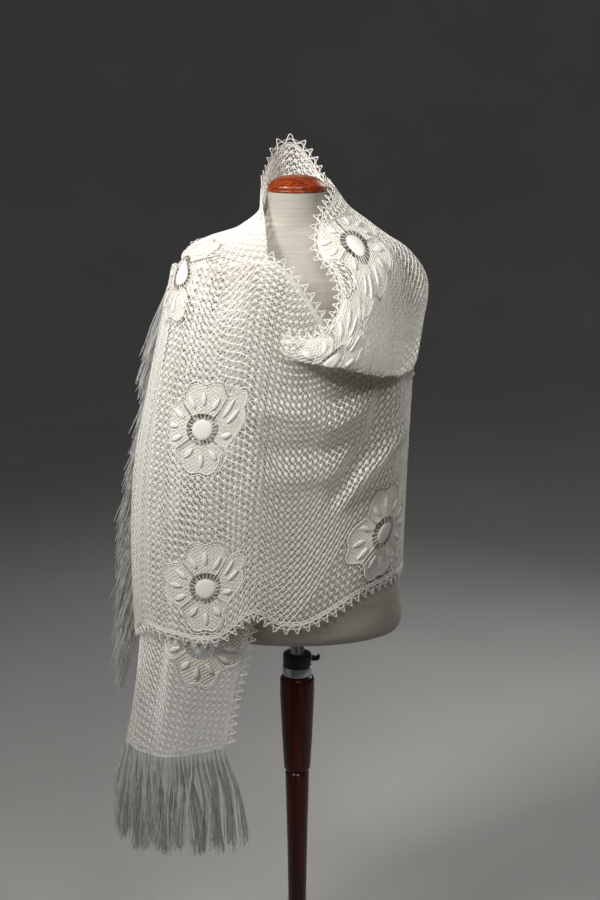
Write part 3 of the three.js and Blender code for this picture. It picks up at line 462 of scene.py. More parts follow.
def tubes(name, lines, radius, sides=4):
    # Round threads through places in metres, closed at their ends, as one mesh
    points = np.concatenate([np.asarray(line) for line in lines])
    sizes = [len(line) for line in lines]
    ends = np.cumsum(sizes)
    starts = np.delete(np.arange(len(points)), ends - 1)
    mesh = bpy.data.meshes.new(name + "Lines")
    mesh.vertices.add(len(points))
    mesh.vertices.foreach_set("co", points.ravel())
    mesh.edges.add(len(starts))
    mesh.edges.foreach_set("vertices", np.c_[starts, starts + 1].ravel())
    holder = bpy.data.objects.new(name + "Lines", mesh)
    bpy.context.collection.objects.link(holder)
    tree, begin, end = geometryTree(name + "Tubes")
    curve = addNode(tree, "GeometryNodeMeshToCurve", links={"Mesh": begin.outputs[0]})
    ring = addNode(tree, "GeometryNodeCurvePrimitiveCircle", {"Resolution": sides, "Radius": radius * mm})
    thread = addNode(tree, "GeometryNodeCurveToMesh", {"Fill Caps": True},
                     {"Curve": curve.outputs["Curve"], "Profile Curve": ring.outputs["Curve"]})
    tree.links.new(thread.outputs["Mesh"], end.inputs[0])
    return evaluated(name, holder, tree)


def geometryTree(name):
    tree = bpy.data.node_groups.new(name, "GeometryNodeTree")
    tree.interface.new_socket("Geometry", in_out="INPUT", socket_type="NodeSocketGeometry")
    tree.interface.new_socket("Geometry", in_out="OUTPUT", socket_type="NodeSocketGeometry")
    return tree, tree.nodes.new("NodeGroupInput"), tree.nodes.new("NodeGroupOutput")


def evaluated(name, holder, tree):
    # The mesh that the tree makes of the holder, as an object of its own
    modifier = holder.modifiers.new("making", "NODES")
    modifier.node_group = tree
    depsgraph = bpy.context.evaluated_depsgraph_get()
    made = bpy.data.meshes.new_from_object(holder.evaluated_get(depsgraph))
    made.name = name
    bpy.data.objects.remove(holder)
    piece = bpy.data.objects.new(name, made)
    bpy.context.collection.objects.link(piece)
    return piece


def laidTubes(name, cloth, lines, radius, lift=0.0, sides=4):
    places, normals = lay(cloth, np.concatenate(lines), lift)
    ends = np.cumsum([len(line) for line in lines])[:-1]
    laid = []
    for line, outward in zip(np.split(places, ends), np.split(normals, ends)):
        run = line[-1] - line[0]
        facing = run[1] * outward[0][0] - run[0] * outward[0][1]
        laid.append(line[::-1] if facing > 0 else line)  # so that a thread's flat side looks outwards
    return tubes(name, laid, radius, sides)


def starMotif():  # a small woven star with six points, thickest in its middle
    bm = bmesh.new()
    bmesh.ops.create_circle(bm, cap_ends=True, radius=net["star"] * mm, segments=12)
    for k, vert in enumerate(bm.verts):
        turn = math.atan2(vert.co.y, vert.co.x)
        if round(turn / (math.pi / 6)) % 2:
            vert.co *= net["starWaist"] / net["star"]
    bmesh.ops.poke(bm, faces=bm.faces[:])
    top = [v for v in bm.verts if len(v.link_edges) == 12]
    bmesh.ops.translate(bm, verts=top, vec=(0, 0, net["starThick"] * mm))
    made = bmesh.ops.duplicate(bm, geom=bm.verts[:] + bm.edges[:] + bm.faces[:])
    copies = [g for g in made["geom"] if isinstance(g, bmesh.types.BMVert)]
    bmesh.ops.scale(bm, vec=(1, 1, -1), verts=copies)
    bmesh.ops.remove_doubles(bm, verts=bm.verts[:], dist=1e-6)
    bmesh.ops.recalc_face_normals(bm, faces=bm.faces[:])
    return bmeshObject("starMotif", bm)


def bmeshObject(name, bm):
    mesh = bpy.data.meshes.new(name)
    bm.to_mesh(mesh)
    bm.free()
    piece = bpy.data.objects.new(name, mesh)
    bpy.context.collection.objects.link(piece)
    return piece


def scatter(name, points, facing, heading, motif):
    # Copies of a motif at points, with Z along facing and X along heading, as one mesh
    mesh = bpy.data.meshes.new(name + "Points")
    mesh.vertices.add(len(points))
    mesh.vertices.foreach_set("co", np.asarray(points, float).ravel())
    for key, values in (("facing", facing), ("heading", heading)):
        attribute = mesh.attributes.new(key, "FLOAT_VECTOR", "POINT")
        attribute.data.foreach_set("vector", np.asarray(values, float).ravel())
    holder = bpy.data.objects.new(name + "Points", mesh)
    bpy.context.collection.objects.link(holder)
    tree, begin, end = geometryTree(name + "Copies")
    source = addNode(tree, "GeometryNodeObjectInfo", {"Object": motif})
    readFacing = addNode(tree, "GeometryNodeInputNamedAttribute",
                         {"data_type": "FLOAT_VECTOR", "Name": "facing"})
    readHeading = addNode(tree, "GeometryNodeInputNamedAttribute",
                          {"data_type": "FLOAT_VECTOR", "Name": "heading"})
    turn = addNode(tree, "FunctionNodeAlignRotationToVector", {"axis": "Z"},
                   {"Vector": readFacing.outputs["Attribute"]})
    spin = addNode(tree, "FunctionNodeAlignRotationToVector", {"axis": "X", "pivot_axis": "Z"},
                   {"Rotation": turn.outputs["Rotation"], "Vector": readHeading.outputs["Attribute"]})
    copies = addNode(tree, "GeometryNodeInstanceOnPoints", links={
        "Points": begin.outputs[0], "Instance": source.outputs["Geometry"],
        "Rotation": spin.outputs["Rotation"]})
    whole = addNode(tree, "GeometryNodeRealizeInstances", links={"Geometry": copies.outputs["Instances"]})
    tree.links.new(whole.outputs["Geometry"], end.inputs[0])
    return evaluated(name, holder, tree)


def joined(name, parts):  # several meshes made one piece
    bm = bmesh.new()
    for part in parts:
        bm.from_mesh(part.data)
    for part in parts:
        bpy.data.objects.remove(part)
    return bmeshObject(name, bm)


starPiece = starMotif()
nets = {}
for name, cloth in cloths.items():
    threads = []
    for lines, radius in netLines(cloth):
        threads.append(laidTubes(name + "Threads", cloth, lines, radius, 0.0, 3))
    flat = netStars(cloth)
    places, normals = lay(cloth, flat)
    ahead, _ = lay(cloth, flat + np.array([2.0, 0.0]))
    stars = scatter(name + "Stars", places, normals, ahead - places, starPiece)
    nets[name] = joined(name + "Net", threads + [stars])
    print("net", name, len(nets[name].data.polygons))


def roundLoop(x, y, radius, steps):
    a = np.linspace(0, 2 * np.pi, steps + 1)
    return [(x + radius * math.cos(t), y + radius * math.sin(t)) for t in a]


def petalEdge(centre, radius, side):
    # The angle of a petal's straight side at a distance from the flower's centre
    return centre + side * (math.pi / 4 - math.asin(flower["ladderHalf"] / radius))


def petalOutline(x, y, centre):
    # Up one straight side of a petal, round its two lobes and down the other side
    legs = np.linspace(flower["petalIn"], flower["petalOut"] - 20, 7)
    radii = list(legs)
    angles = [petalEdge(centre, radius, -1) for radius in legs]
    start, stop = petalEdge(centre, legs[-1], -1), petalEdge(centre, legs[-1], 1)
    for a in np.linspace(start, stop, 19)[1:-1]:
        radii.append(flowerEdge(a - centre) - flower["rim"])
        angles.append(a)
    radii += list(legs[::-1])
    angles += [petalEdge(centre, radius, 1) for radius in legs[::-1]]
    return np.c_[x + np.array(radii) * np.cos(angles), y + np.array(radii) * np.sin(angles)]


def spoke(x, y, fromRadius, toRadius, angle, lean=0.0):
    near, far = (fromRadius, angle), (toRadius, angle + lean)
    return np.array([(x + r * math.cos(a), y + r * math.sin(a)) for r, a in (near, far)])


def flowerThreads(x, y, turn):
    # The threads of one flower: spokes and ladders, and the cords round its parts
    around = [turn + 2 * math.pi * k / flower["ringThreads"] for k in range(flower["ringThreads"])]
    fine = [spoke(x, y, flower["disc"] - 1, flower["ringOut"] + 1.5, angle, 0.05) for angle in around]
    cords = [roundLoop(x, y, flower["disc"], 28), roundLoop(x, y, flower["ringOut"], 32)]
    for quarter in range(4):
        centre = turn + quarter * math.pi / 2
        cords.append(petalOutline(x, y, centre))
        lane = centre + math.pi / 4
        half = flower["ladderHalf"] + 1
        for radius in np.linspace(flower["petalIn"] + 3, flower["petalOut"] - 22, flower["ladderBars"]):
            ox, oy = x + radius * math.cos(lane), y + radius * math.sin(lane)
            across = np.array([-half * math.sin(lane), half * math.cos(lane)])
            fine.append(np.array([(ox, oy) + across, (ox, oy) - across]))
    rim = np.linspace(0, 2 * math.pi, 97)
    edge = flowerEdge(rim - turn)
    cords.append(np.c_[x + edge * np.cos(rim), y + edge * np.sin(rim)])
    for a in np.linspace(0, 2 * math.pi, 73)[:-1]:
        edge = flowerEdge(a - turn)
        fine.append(spoke(x, y, edge - flower["rim"], edge, a, 0.03))
    return fine, cords


def petalStitch(x, y, turn):  # half stitch in the four petals: fine threads crossing on both slants
    reach = flower["radius"] + 4
    steps = np.arange(-reach, reach + 0.1, 5.0)
    lines = []
    for slant, pitch in flower["slants"]:
        ca, sa = math.cos(turn + math.radians(slant)), math.sin(turn + math.radians(slant))
        for offset in np.arange(-reach, reach, pitch):
            lines.append(np.c_[x + steps * ca - offset * sa, y + steps * sa + offset * ca])

    def inPetal(a, b):
        dx, dy = a - x, b - y
        away, angle = np.hypot(dx, dy), np.arctan2(dy, dx) - turn
        fromPetal = np.abs(angle - np.pi / 2 * np.round(angle / (np.pi / 2)))
        toLane = away * np.sin(np.pi / 4 - fromPetal)
        inRim = away < flowerEdge(angle) - flower["rim"]
        return (away > flower["petalIn"]) & inRim & (toLane > flower["ladderHalf"])
    return runsInside(lines, inPetal)


def layMesh(cloth, bm, rise, thickness=0.0):
    # Trims a flat mesh, in millimetres, to the strip and lays it on the cloth; its flat places stay as UV
    uv = bm.loops.layers.uv.verify()
    for face in bm.faces:
        for loop in face.loops:
            loop[uv].uv = (loop.vert.co.x * mm, loop.vert.co.y * mm)
    s, t = toShares(cloth, [(v.co.x, v.co.y) for v in bm.verts])
    lost = [vert for vert, along in zip(bm.verts, s) if along < -8]
    for vert, along, down in zip(bm.verts, s, t):
        vert.co = (along * cloth["length"], down * cloth["width"], vert.co.z)
    bmesh.ops.delete(bm, geom=lost, context="VERTS")
    if lost and not thickness:
        bm.clear()
    for place, way in (((0, 0, 0), (-1, 0, 0)), ((cloth["length"], 0, 0), (1, 0, 0)),
                       ((0, 0, 0), (0, -1, 0)), ((0, cloth["width"], 0), (0, 1, 0))):
        cut = bmesh.ops.bisect_plane(bm, geom=bm.verts[:] + bm.edges[:] + bm.faces[:], plane_co=place,
                                     plane_no=way,
                                     clear_outer=True, dist=1e-4)
        if not thickness and bm.faces:
            rim = [e for e in cut["geom_cut"] if isinstance(e, bmesh.types.BMEdge)]
            bmesh.ops.holes_fill(bm, edges=rim, sides=0)
    if not bm.faces:
        bm.free()
        return None
    places = np.array([v.co for v in bm.verts])
    points, _ = laySharewise(cloth, places[:, 0] / cloth["length"], places[:, 1] / cloth["width"],
                             places[:, 2] + rise)
    for vert, point in zip(bm.verts, points):
        vert.co = point
    if thickness:
        bmesh.ops.recalc_face_normals(bm, faces=bm.faces[:])
        bmesh.ops.solidify(bm, geom=bm.faces[:], thickness=thickness * mm)
    bmesh.ops.recalc_face_normals(bm, faces=bm.faces[:])
    return bm


def petalGround(cloth, x, y, centre):  # the woven ground of one petal, a thin shell
    bm = bmesh.new()
    bmesh.ops.create_grid(bm, x_segments=16, y_segments=10, size=1)
    for vert in bm.verts:
        across, out = vert.co.x, (vert.co.y + 1) / 2
        edge = flowerEdge(across * 0.74) - flower["rim"]
        radius = flower["petalIn"] + out * (edge - flower["petalIn"])
        angle = centre + across * (math.pi / 4 - math.asin(flower["ladderHalf"] / radius))
        vert.co = (x + radius * math.cos(angle), y + radius * math.sin(angle), 0)
    return layMesh(cloth, bm, 0.0, flower["ground"])


def leafMesh(cloth, x, y, centre, spread, reach):  # a raised pointed leaf, woven solid
    bm = bmesh.new()
    bmesh.ops.create_uvsphere(bm, u_segments=8, v_segments=8, radius=1)
    angle = centre + spread
    lean = centre + 1.3 * spread
    for vert in bm.verts:
        along, across, up = vert.co.z, vert.co.x, vert.co.y
        taper = 1 - 0.3 * abs(along)
        fx = along * flower["leafLong"] / 2
        fy = across * taper * flower["leafWide"] / 2
        vert.co = (x + reach * math.cos(angle) + fx * math.cos(lean) - fy * math.sin(lean),
                   y + reach * math.sin(angle) + fx * math.sin(lean) + fy * math.cos(lean),
                   up * flower["leafThick"])
    return layMesh(cloth, bm, flower["leafLift"])


def discMesh(cloth, x, y):
    bm = bmesh.new()
    bmesh.ops.create_uvsphere(bm, u_segments=24, v_segments=8, radius=1)
    for vert in bm.verts:
        vert.co = (x + vert.co.x * flower["disc"], y + vert.co.y * flower["disc"], vert.co.z * 1.3)
    return layMesh(cloth, bm, 0.8)


def gathered(name, meshes):
    whole = bmesh.new()
    for bm in meshes:
        spare = bpy.data.meshes.new("spare")
        bm.to_mesh(spare)
        bm.free()
        whole.from_mesh(spare)
        bpy.data.meshes.remove(spare)
    return bmeshObject(name, whole)


flowerPieces, petalPieces, flowerCords = {}, {}, {}
for name, cloth in cloths.items():
    solids, grounds, fine, cords, stitches = [], [], [], [], []
    for x, y, turn in cloth["flowers"]:
        solids.append(discMesh(cloth, x, y))
        for quarter in range(4):
            centre = turn + quarter * math.pi / 2
            grounds.append(petalGround(cloth, x, y, centre))
            for spread, reach in flower["leaves"]:
                solids.append(leafMesh(cloth, x, y, centre, spread, reach))
        someFine, someCords = flowerThreads(x, y, turn)
        fine += someFine
        cords += someCords
        stitches += petalStitch(x, y, turn)
    flowerPieces[name] = gathered(name + "Leaves", [bm for bm in solids if bm])
    petalPieces[name] = gathered(name + "Petals", [bm for bm in grounds if bm])
    parts = []
    for part, lines in (("stitch", stitches), ("fine", fine), ("cord", cords)):
        kept = runsInside(lines, lambda a, b: onStrip(cloth, a, b))
        parts.append(laidTubes(name + part, cloth, kept, flower[part], flower["lifts"][part]))
    flowerCords[name] = joined(name + "Flowers", parts)
    print("flowers", name, len(flowerCords[name].data.polygons))

# Picot edges: a gimp tape, a zigzag with rounded tips and a straight thread through it
picot = {"pitch": 16, "height": 13, "base": 3.9, "cord": 0.9, "tape": 0.85, "line": 0.5, "step": 4,
         "loop": 0.05, "tapes": (-2.6, 0.6, 2.9)}
# Each edge's stretch, side, shares where it starts and ends, and CAD node
edges = {
    "edgeEndA": ("endA", "end", 0.66, 1, "edge_end_a"),
    "edgeCollar": ("back", "top", 0, 1, "edge_collar"),
    "edgeBackHem": ("back", "bottom", 0, 1, "edge_back_hem"),
    "edgeNeckline": ("cowl", "top", 0, 1, "edge_neckline"),
    "edgeWrapTop": ("wrap", "top", 0.45, 0.68, "edge_wrap_top"),
    "edgeWrapHem": ("wrap", "bottom", 0, 1, "edge_wrap_hem"),
    "edgeEndBHem": ("endB", "bottom", 0, 1, "edge_end_b_hem"),
}


def edgeShares(side, share):
    share = np.asarray(share, float)
    fixed = np.full(share.shape, 0.0 if side == "top" else 1.0)
    return (fixed, share) if side == "end" else (share, fixed)


def edgeRail(cloth, side, fromShare=0.0, toShare=1.0):
    # An edge as places, outward directions and directions away from the cloth, with real lengths
    share = np.linspace(fromShare, toShare, 240)
    places, outward = laySharewise(cloth, *edgeShares(side, share))
    s, t = edgeShares(side, share)
    inner, _ = laySharewise(cloth, np.where(s == 1.0, 0.97, s) if side == "end" else s,
                            t if side == "end" else np.where(t > 0.5, 0.97, 0.03))
    tangent = np.gradient(places, axis=0)
    away = np.cross(tangent, outward)
    away /= np.linalg.norm(away, axis=1, keepdims=True)
    away *= np.sign(np.sum(away * (places - inner), axis=1, keepdims=True))
    lengths = np.concatenate([[0], np.cumsum(np.linalg.norm(np.diff(places, axis=0), axis=1))]) / mm
    return {"places": places, "outward": outward, "away": away, "lengths": lengths, "length": lengths[-1]}


def onRail(rail, along, away, lift=0.0):
    # Places at real lengths along an edge and distances away from it, in metres
    along = np.asarray(along, float)

    def pick(table):
        return np.stack([np.interp(along, rail["lengths"], table[:, k]) for k in range(3)], -1)
    beside = pick(rail["away"]) * np.reshape(away, (-1, 1)) * mm
    return pick(rail["places"]) + beside + pick(rail["outward"]) * lift * mm


def picotEdge(name, cloth, side, fromShare, toShare):
    rail = edgeRail(cloth, side, fromShare, toShare)
    count = max(2, round(rail["length"] / picot["pitch"]))
    pitch = rail["length"] / count
    low, rise = picot["base"], picot["height"]

    def looped(turn, high, steps):  # a thread that winds up to a small loop at each tip
        share = turn + np.linspace(0, count, count * steps + 1)
        along = np.clip(share + picot["loop"] * np.sin(2 * np.pi * share), 0, count) * pitch
        return onRail(rail, along, low + high * (0.5 - 0.5 * np.cos(2 * np.pi * share)))
    steps = np.linspace(0, rail["length"], max(3, round(rail["length"] / picot["step"])))
    straight = [onRail(rail, steps, np.full(len(steps), away)) for away in picot["tapes"]]
    through = [onRail(rail, steps, np.full(len(steps), low + 0.34 * rise)),
               looped(0.5, 0.5 * rise, 8)[:-4]]
    return joined(name, [tubes(name + "Loops", [looped(0, rise, 14)], picot["cord"]),
                         tubes(name + "Tape", straight, picot["tape"]),
                         tubes(name + "Line", through, picot["line"])])


edgePieces = {}
for name, (stretch, side, fromShare, toShare, node) in edges.items():
    edgePieces[name] = (picotEdge(name, cloths[stretch], side, fromShare, toShare), node, stretch)
print("edges", len(edgePieces))

# Fringes: knotted bunches of fine threads, fanning out below a narrow braid under the cloth's last row
fringe = {"every": 7.4, "threads": {"bottom": 22, "end": 13}, "length": 185, "thread": 0.5, "braid": 0.9,
          "rootHalf": 0.8, "tipHalf": 6.5, "steps": 12, "knot": 12, "braids": (-6.0, 1.6, 4.0),
          "scatter": 0.8, "waves": (0.5, 3.0), "drift": 8}
droop = {"start": 5, "slope": 0.26, "slopeTop": 0.12, "sideTop": 0.18, "bend": 5, "bulge": -17,
         "spread": 26, "wind": 5.5}


def bunchPath(side, share, outward, sideways, sway):
    # Where a bunch's middle lies at a depth below its root
    def travel(fall):
        ease = fall / fringe["length"]
        if side == "end":
            top = 1 - share
            lean = outward * (droop["slope"] + droop["slopeTop"] * top) + sideways * droop["sideTop"] * top
            bend = outward * droop["bend"] * math.sin(3.4 * ease + sway[1]) + sideways * sway[0] * ease
            start = sideways * droop["start"] * min(1, fall / 12)
            return lean * fall + bend * ease + start + np.array([0, 0, -fall])
        bulge = droop["bulge"] * (1 - share) ** 2 * math.sin(2.6 * ease) + droop["spread"] * share ** 3 * ease
        wind = droop["wind"] * min(1, 3 * ease)
        aside = bulge + sway[0] * ease + wind * math.sin(4.4 * ease + sway[1]) - wind * math.sin(sway[1])
        return np.array([aside, sway[2] * ease, -fall])
    return travel


def looseThread(root, travel, length):
    lay2d = np.array([random.gauss(0, fringe["scatter"]), random.gauss(0, fringe["scatter"]), 0])
    phase, size = random.uniform(0, 6.28), random.uniform(*fringe["waves"])
    points = []
    for k in range(fringe["steps"] + 1):
        share = k / fringe["steps"]
        fall = length * share
        half = fringe["rootHalf"] + (fringe["tipHalf"] - fringe["rootHalf"]) * max(0, share - 0.06) ** 0.7
        wave = size * share * math.sin(fall / 21 + phase)
        points.append((root + travel(fall) + lay2d * half + np.array([wave, 0.6 * wave, 0])) * mm)
    return points


def fringePiece(name, cloth, side):
    rail = edgeRail(cloth, side)
    lines, knots = [], []
    bunches = round(rail["length"] / fringe["every"])
    drift = 0.0
    for k in range(bunches):
        share = (k + 0.5) / bunches
        along = share * rail["length"]
        root = onRail(rail, [along], [4])[0] / mm
        outward = onRail(rail, [along], [0], 1000)[0] - onRail(rail, [along], [0])[0]
        sideways = onRail(rail, [along], [1000])[0] - onRail(rail, [along], [0])[0]
        drift = 0.5 * drift + random.uniform(-fringe["drift"], fringe["drift"])
        sway = (drift, random.uniform(0, 6.28), random.uniform(-6, 6))
        travel = bunchPath(side, share, outward, sideways, sway)
        length = fringe["length"] - 9 + random.uniform(-8, 7)
        knots.append([(root + travel(fall)) * mm for fall in (0, 0.5 * fringe["knot"], fringe["knot"])])
        for _ in range(fringe["threads"][side]):
            lines.append(looseThread(root, travel, length + random.uniform(-14, 6)))
    steps = np.linspace(0, rail["length"], max(3, int(rail["length"] / 5)))
    braid = [onRail(rail, steps, np.full(len(steps), away)) for away in fringe["braids"]]
    crossed = np.linspace(0, rail["length"], 2 * bunches + 1)
    odd = np.arange(len(crossed)) % 2
    inner, outer = fringe["braids"][:2]
    rungs = [onRail(rail, crossed, np.where(odd, away, inner - away + outer)) for away in (outer, inner)]
    return joined(name, [tubes(name + "Threads", lines, fringe["thread"], 3),
                         tubes(name + "Braid", braid, fringe["braid"]),
                         tubes(name + "Knots", knots, 1.5, 6), tubes(name + "Rungs", rungs, 0.6)])


fringeA = fringePiece("fringeA", cloths["endA"], "bottom")
fringeB = fringePiece("fringeB", cloths["endB"], "end")
print("fringes", len(fringeA.data.polygons), len(fringeB.data.polygons))

# The form: level sections with height, half width, half depth and how far forward the middle lies
form = {
    "sections": [
        (746, 158, 96, 0), (748, 168, 104, 0), (752, 174, 110, 0), (764, 180, 116, 0), (790, 181, 118, 0),
        (860, 173, 114, 0), (950, 164, 107, 1), (1040, 156, 102, 3), (1130, 160, 106, 6),
        (1220, 168, 112, 8), (1300, 172, 104, 5), (1350, 176, 92, 1), (1382, 168, 80, -1),
        (1404, 153, 70, -2), (1423.8, 131, 61, -2), (1434, 90, 54, -1),
        (1446, 60, 50, 0), (1468, 48.5, 48, 0), (1496, 48, 48, 0)],
    "sides": 72, "between": 4,
}


def formShape():
    heights, widths, depths, forward = (np.array(c, float) for c in zip(*form["sections"]))
    knots = np.concatenate([[0], np.cumsum(np.hypot(np.diff(heights), np.diff(widths)))])
    stretches = [np.linspace(a, b, form["between"], endpoint=False) for a, b in zip(knots, knots[1:])]
    at = np.concatenate(stretches + [[knots[-1]]])
    rows = throughRows(knots, np.c_[heights, widths, depths, forward], at)
    bm = bmesh.new()
    rings = []
    for height, width, depth, ahead in rows:
        made = bmesh.ops.create_circle(bm, cap_ends=False, radius=1, segments=form["sides"])
        for vert in made["verts"]:
            vert.co = (vert.co.x * width * mm, (vert.co.y * depth - ahead) * mm, height * mm)
        rings.append(made["verts"])
    for low, high in zip(rings, rings[1:]):
        edgesOf = {e for v in low + high for e in v.link_edges if not e.link_faces or len(e.link_faces) == 1}
        lowSet, highSet = set(low), set(high)
        loopEdges = [e for e in edgesOf if (e.verts[0] in lowSet and e.verts[1] in lowSet)
                     or (e.verts[0] in highSet and e.verts[1] in highSet)]
        bmesh.ops.bridge_loops(bm, edges=loopEdges)
    bmesh.ops.holes_fill(bm, edges=bm.edges[:], sides=0)
    bmesh.ops.recalc_face_normals(bm, faces=bm.faces[:])
    return bmeshObject("formTorso", bm)


def turnedPiece(name, profile, steps=64):
    # A profile of (radius, height) in millimetres spun round the axis
    bm = bmesh.new()
    verts = [bm.verts.new((r * mm, 0, z * mm)) for r, z in profile]
    lines = [bm.edges.new(pair) for pair in zip(verts, verts[1:])]
    bmesh.ops.spin(bm, geom=verts + lines, cent=(0, 0, 0), axis=(0, 0, 1), angle=2 * math.pi, steps=steps,
                   use_merge=True)
    bmesh.ops.remove_doubles(bm, verts=bm.verts[:], dist=1e-6)
    bmesh.ops.recalc_face_normals(bm, faces=bm.faces[:])
    return bmeshObject(name, bm)


def arc(centreRadius, centreHeight, radius, begin, end, steps=8):
    turn = [math.radians(begin + (end - begin) * k / steps) for k in range(steps + 1)]
    return [(centreRadius + radius * math.cos(a), centreHeight + radius * math.sin(a)) for a in turn]


stand = {"bore": 12.6, "handleTop": 659, "boreFloor": 317, "ring": (659.3, 676), "collar": (676.3, 699)}
torso = formShape()
cap = turnedPiece("neckCap", [
    (0, 1496.3), (46.4, 1496.3), *arc(46.2, 1498.4, 2.1, -80, 30, 5), (47.6, 1501.4),
    *arc(41.5, 1503.4, 6.8, 0, 52, 6), (41.5, 1512.6), (35, 1516.8), (28, 1519.6), (19, 1521.8),
    (9, 1523), (0, 1523.3)])
base = turnedPiece("baseFoot", [
    (0, 0), (184, 0), *arc(177, 13, 13, -58, 70, 10), (120, 27.6), (0, 29)], 96)
column = turnedPiece("columnTurned", [
    (0, 29.3), (34, 29.3), *arc(31.5, 36, 2.5, -60, 60, 4), (30.5, 45), (26, 54), (20.5, 70),
    (17.5, 88), (16.5, 110), (16, 170), (16.1, 237), (17.2, 310), (18.5, 370), (20, 430), (21, 474),
    *arc(19.6, 474.6, 1.4, 0, 90, 4), (18, 478), (18, 483), *arc(21.8, 485.6, 1.4, -90, 0, 4),
    (23.6, 492), (25, 515), (26.6, 545), (28, 575), (29.2, 600), (30, 623), (30, 640),
    *arc(21, 650, 9, 5, 90, 8),
    (stand["bore"], stand["handleTop"]), (stand["bore"], stand["boreFloor"]), (0, stand["boreFloor"])])
low, high = stand["ring"]
ring = turnedPiece("chromeRing", [
    (stand["bore"], low), (24, low), *arc(24, 660.8, 1.5, -80, 0, 4), *arc(24, 674.5, 1.5, 0, 80, 4),
    (24, high), (stand["bore"], high), (stand["bore"], low)])
low, high = stand["collar"]
collar = turnedPiece("clampCollar", [
    (stand["bore"], low), (24, low), *arc(23.9, 677, 0.6, -60, 0, 3), (24.5, 694),
    *arc(21.5, 696, 3, 0, 80, 5), (stand["bore"], high), (stand["bore"], low)])
post = turnedPiece("postTube", [
    (0, 329), (11, 329), (12, 330), (12, 744.7), (11.3, 745.7), (0, 745.7)], 48)


def leverShape():  # the clamp's lever, a bent tab on the collar's right side
    bm = bmesh.new()
    outline = [(24.9, -4), (34, -4), (37.2, -3), (39.2, -0.6), (40, 2), (39.4, 4.2), (37, 4.6), (33, 1.4),
               (29, 2.6), (24.9, 4)]
    middle = stand["collar"][0] + 22.7 / 2 + 2
    verts = [bm.verts.new((x * mm, -6 * mm, (middle + z) * mm)) for x, z in outline]
    face = bm.faces.new(verts)
    made = bmesh.ops.extrude_face_region(bm, geom=[face])
    moved = [g for g in made["geom"] if isinstance(g, bmesh.types.BMVert)]
    bmesh.ops.translate(bm, verts=moved, vec=(0, 12 * mm, 0))
    bmesh.ops.recalc_face_normals(bm, faces=bm.faces[:])
    bmesh.ops.bevel(bm, geom=bm.edges[:], affect="EDGES", offset=0.7 * mm, segments=2, profile=0.5,
                    material=-1)
    return bmeshObject("clampLever", bm)


lever = leverShape()
print("form and stand built")


# Bleached linen thread, twisted: matt, warm white, a little uneven along its length
def laceThread():
    material, tree, shader = newMaterial("bleachedLinenThread", {
        "Roughness": 0.82, "Sheen Weight": 0.2, "Sheen Roughness": 0.5})
    place = addNode(tree, "ShaderNodeTexCoord")
    patches = addNode(tree, "ShaderNodeTexNoise", {"Scale": 9.0, "Detail": 3.0},
                      {"Vector": place.outputs["Object"]})
    fibres = addNode(tree, "ShaderNodeTexNoise", {"Scale": 900.0, "Detail": 2.0},
                     {"Vector": place.outputs["Object"]})
    tone = colourRamp(tree, patches.outputs["Fac"], [(0.3, "#efeadf"), (0.7, "#f7f3ea")])
    bump = addNode(tree, "ShaderNodeBump", {"Strength": 0.3, "Distance": 0.0003},
                   {"Height": fibres.outputs["Fac"]})
    tree.links.new(tone.outputs["Color"], shader.inputs["Base Color"])
    tree.links.new(bump.outputs["Normal"], shader.inputs["Normal"])
    return material


# Half stitch in the same thread: a fine diagonal mesh, drawn at 3.4 mm so that it shows, its holes painted
# dark as painted shade from behind the cloth
def wovenLace():
    material, tree, shader = newMaterial("linenStitchPaintedHoleShade", {
        "Roughness": 0.8, "Sheen Weight": 0.2, "Sheen Roughness": 0.5})
    place = addNode(tree, "ShaderNodeTexCoord")
    turned = addNode(tree, "ShaderNodeMapping", links={"Vector": place.outputs["UV"]})
    turned.inputs["Rotation"].default_value = (0, 0, math.radians(45))
    split = addNode(tree, "ShaderNodeSeparateXYZ", links={"Vector": turned.outputs["Vector"]})
    waves = []
    for axis in ("X", "Y"):
        scaled = addNode(tree, "ShaderNodeMath", {"operation": "MULTIPLY", 1: 2 * math.pi / 0.0034},
                         {0: split.outputs[axis]})
        waves.append(addNode(tree, "ShaderNodeMath", {"operation": "SINE"}, {0: scaled.outputs[0]}))
    mesh = addNode(tree, "ShaderNodeMath", {"operation": "MULTIPLY"},
                   {0: waves[0].outputs[0], 1: waves[1].outputs[0]})
    # the dark end of the ramp is painted shade in the holes between the threads
    tone = colourRamp(tree, mesh.outputs[0], [(0.0, "#ebe6da"), (0.3, "#d9d3c6"), (0.8, "#6f685b")])
    bump = addNode(tree, "ShaderNodeBump", {"Strength": 0.5, "Distance": 0.0006, "invert": True},
                   {"Height": mesh.outputs[0]})
    tree.links.new(tone.outputs["Color"], shader.inputs["Base Color"])
    tree.links.new(bump.outputs["Normal"], shader.inputs["Normal"])
    return material


# Cloth stitch in the leaves and hearts of the flowers: closely woven, the whitest part, ribbed at 1.6 mm
def clothStitch():
    material, tree, shader = newMaterial("linenClothStitch", {
        "Roughness": 0.72, "Sheen Weight": 0.25, "Sheen Roughness": 0.5})
    place = addNode(tree, "ShaderNodeTexCoord")
    ribs = addNode(tree, "ShaderNodeTexWave", {"Scale": 98.0, "Distortion": 0.6, "Detail": 1.0},
                   {"Vector": place.outputs["UV"]})
    tone = colourRamp(tree, ribs.outputs["Fac"], [(0.2, "#e6e2d8"), (0.6, "#f8f5ee")])
    bump = addNode(tree, "ShaderNodeBump", {"Strength": 0.4, "Distance": 0.0004},
                   {"Height": ribs.outputs["Fac"]})
    tree.links.new(tone.outputs["Color"], shader.inputs["Base Color"])
    tree.links.new(bump.outputs["Normal"], shader.inputs["Normal"])
    return material
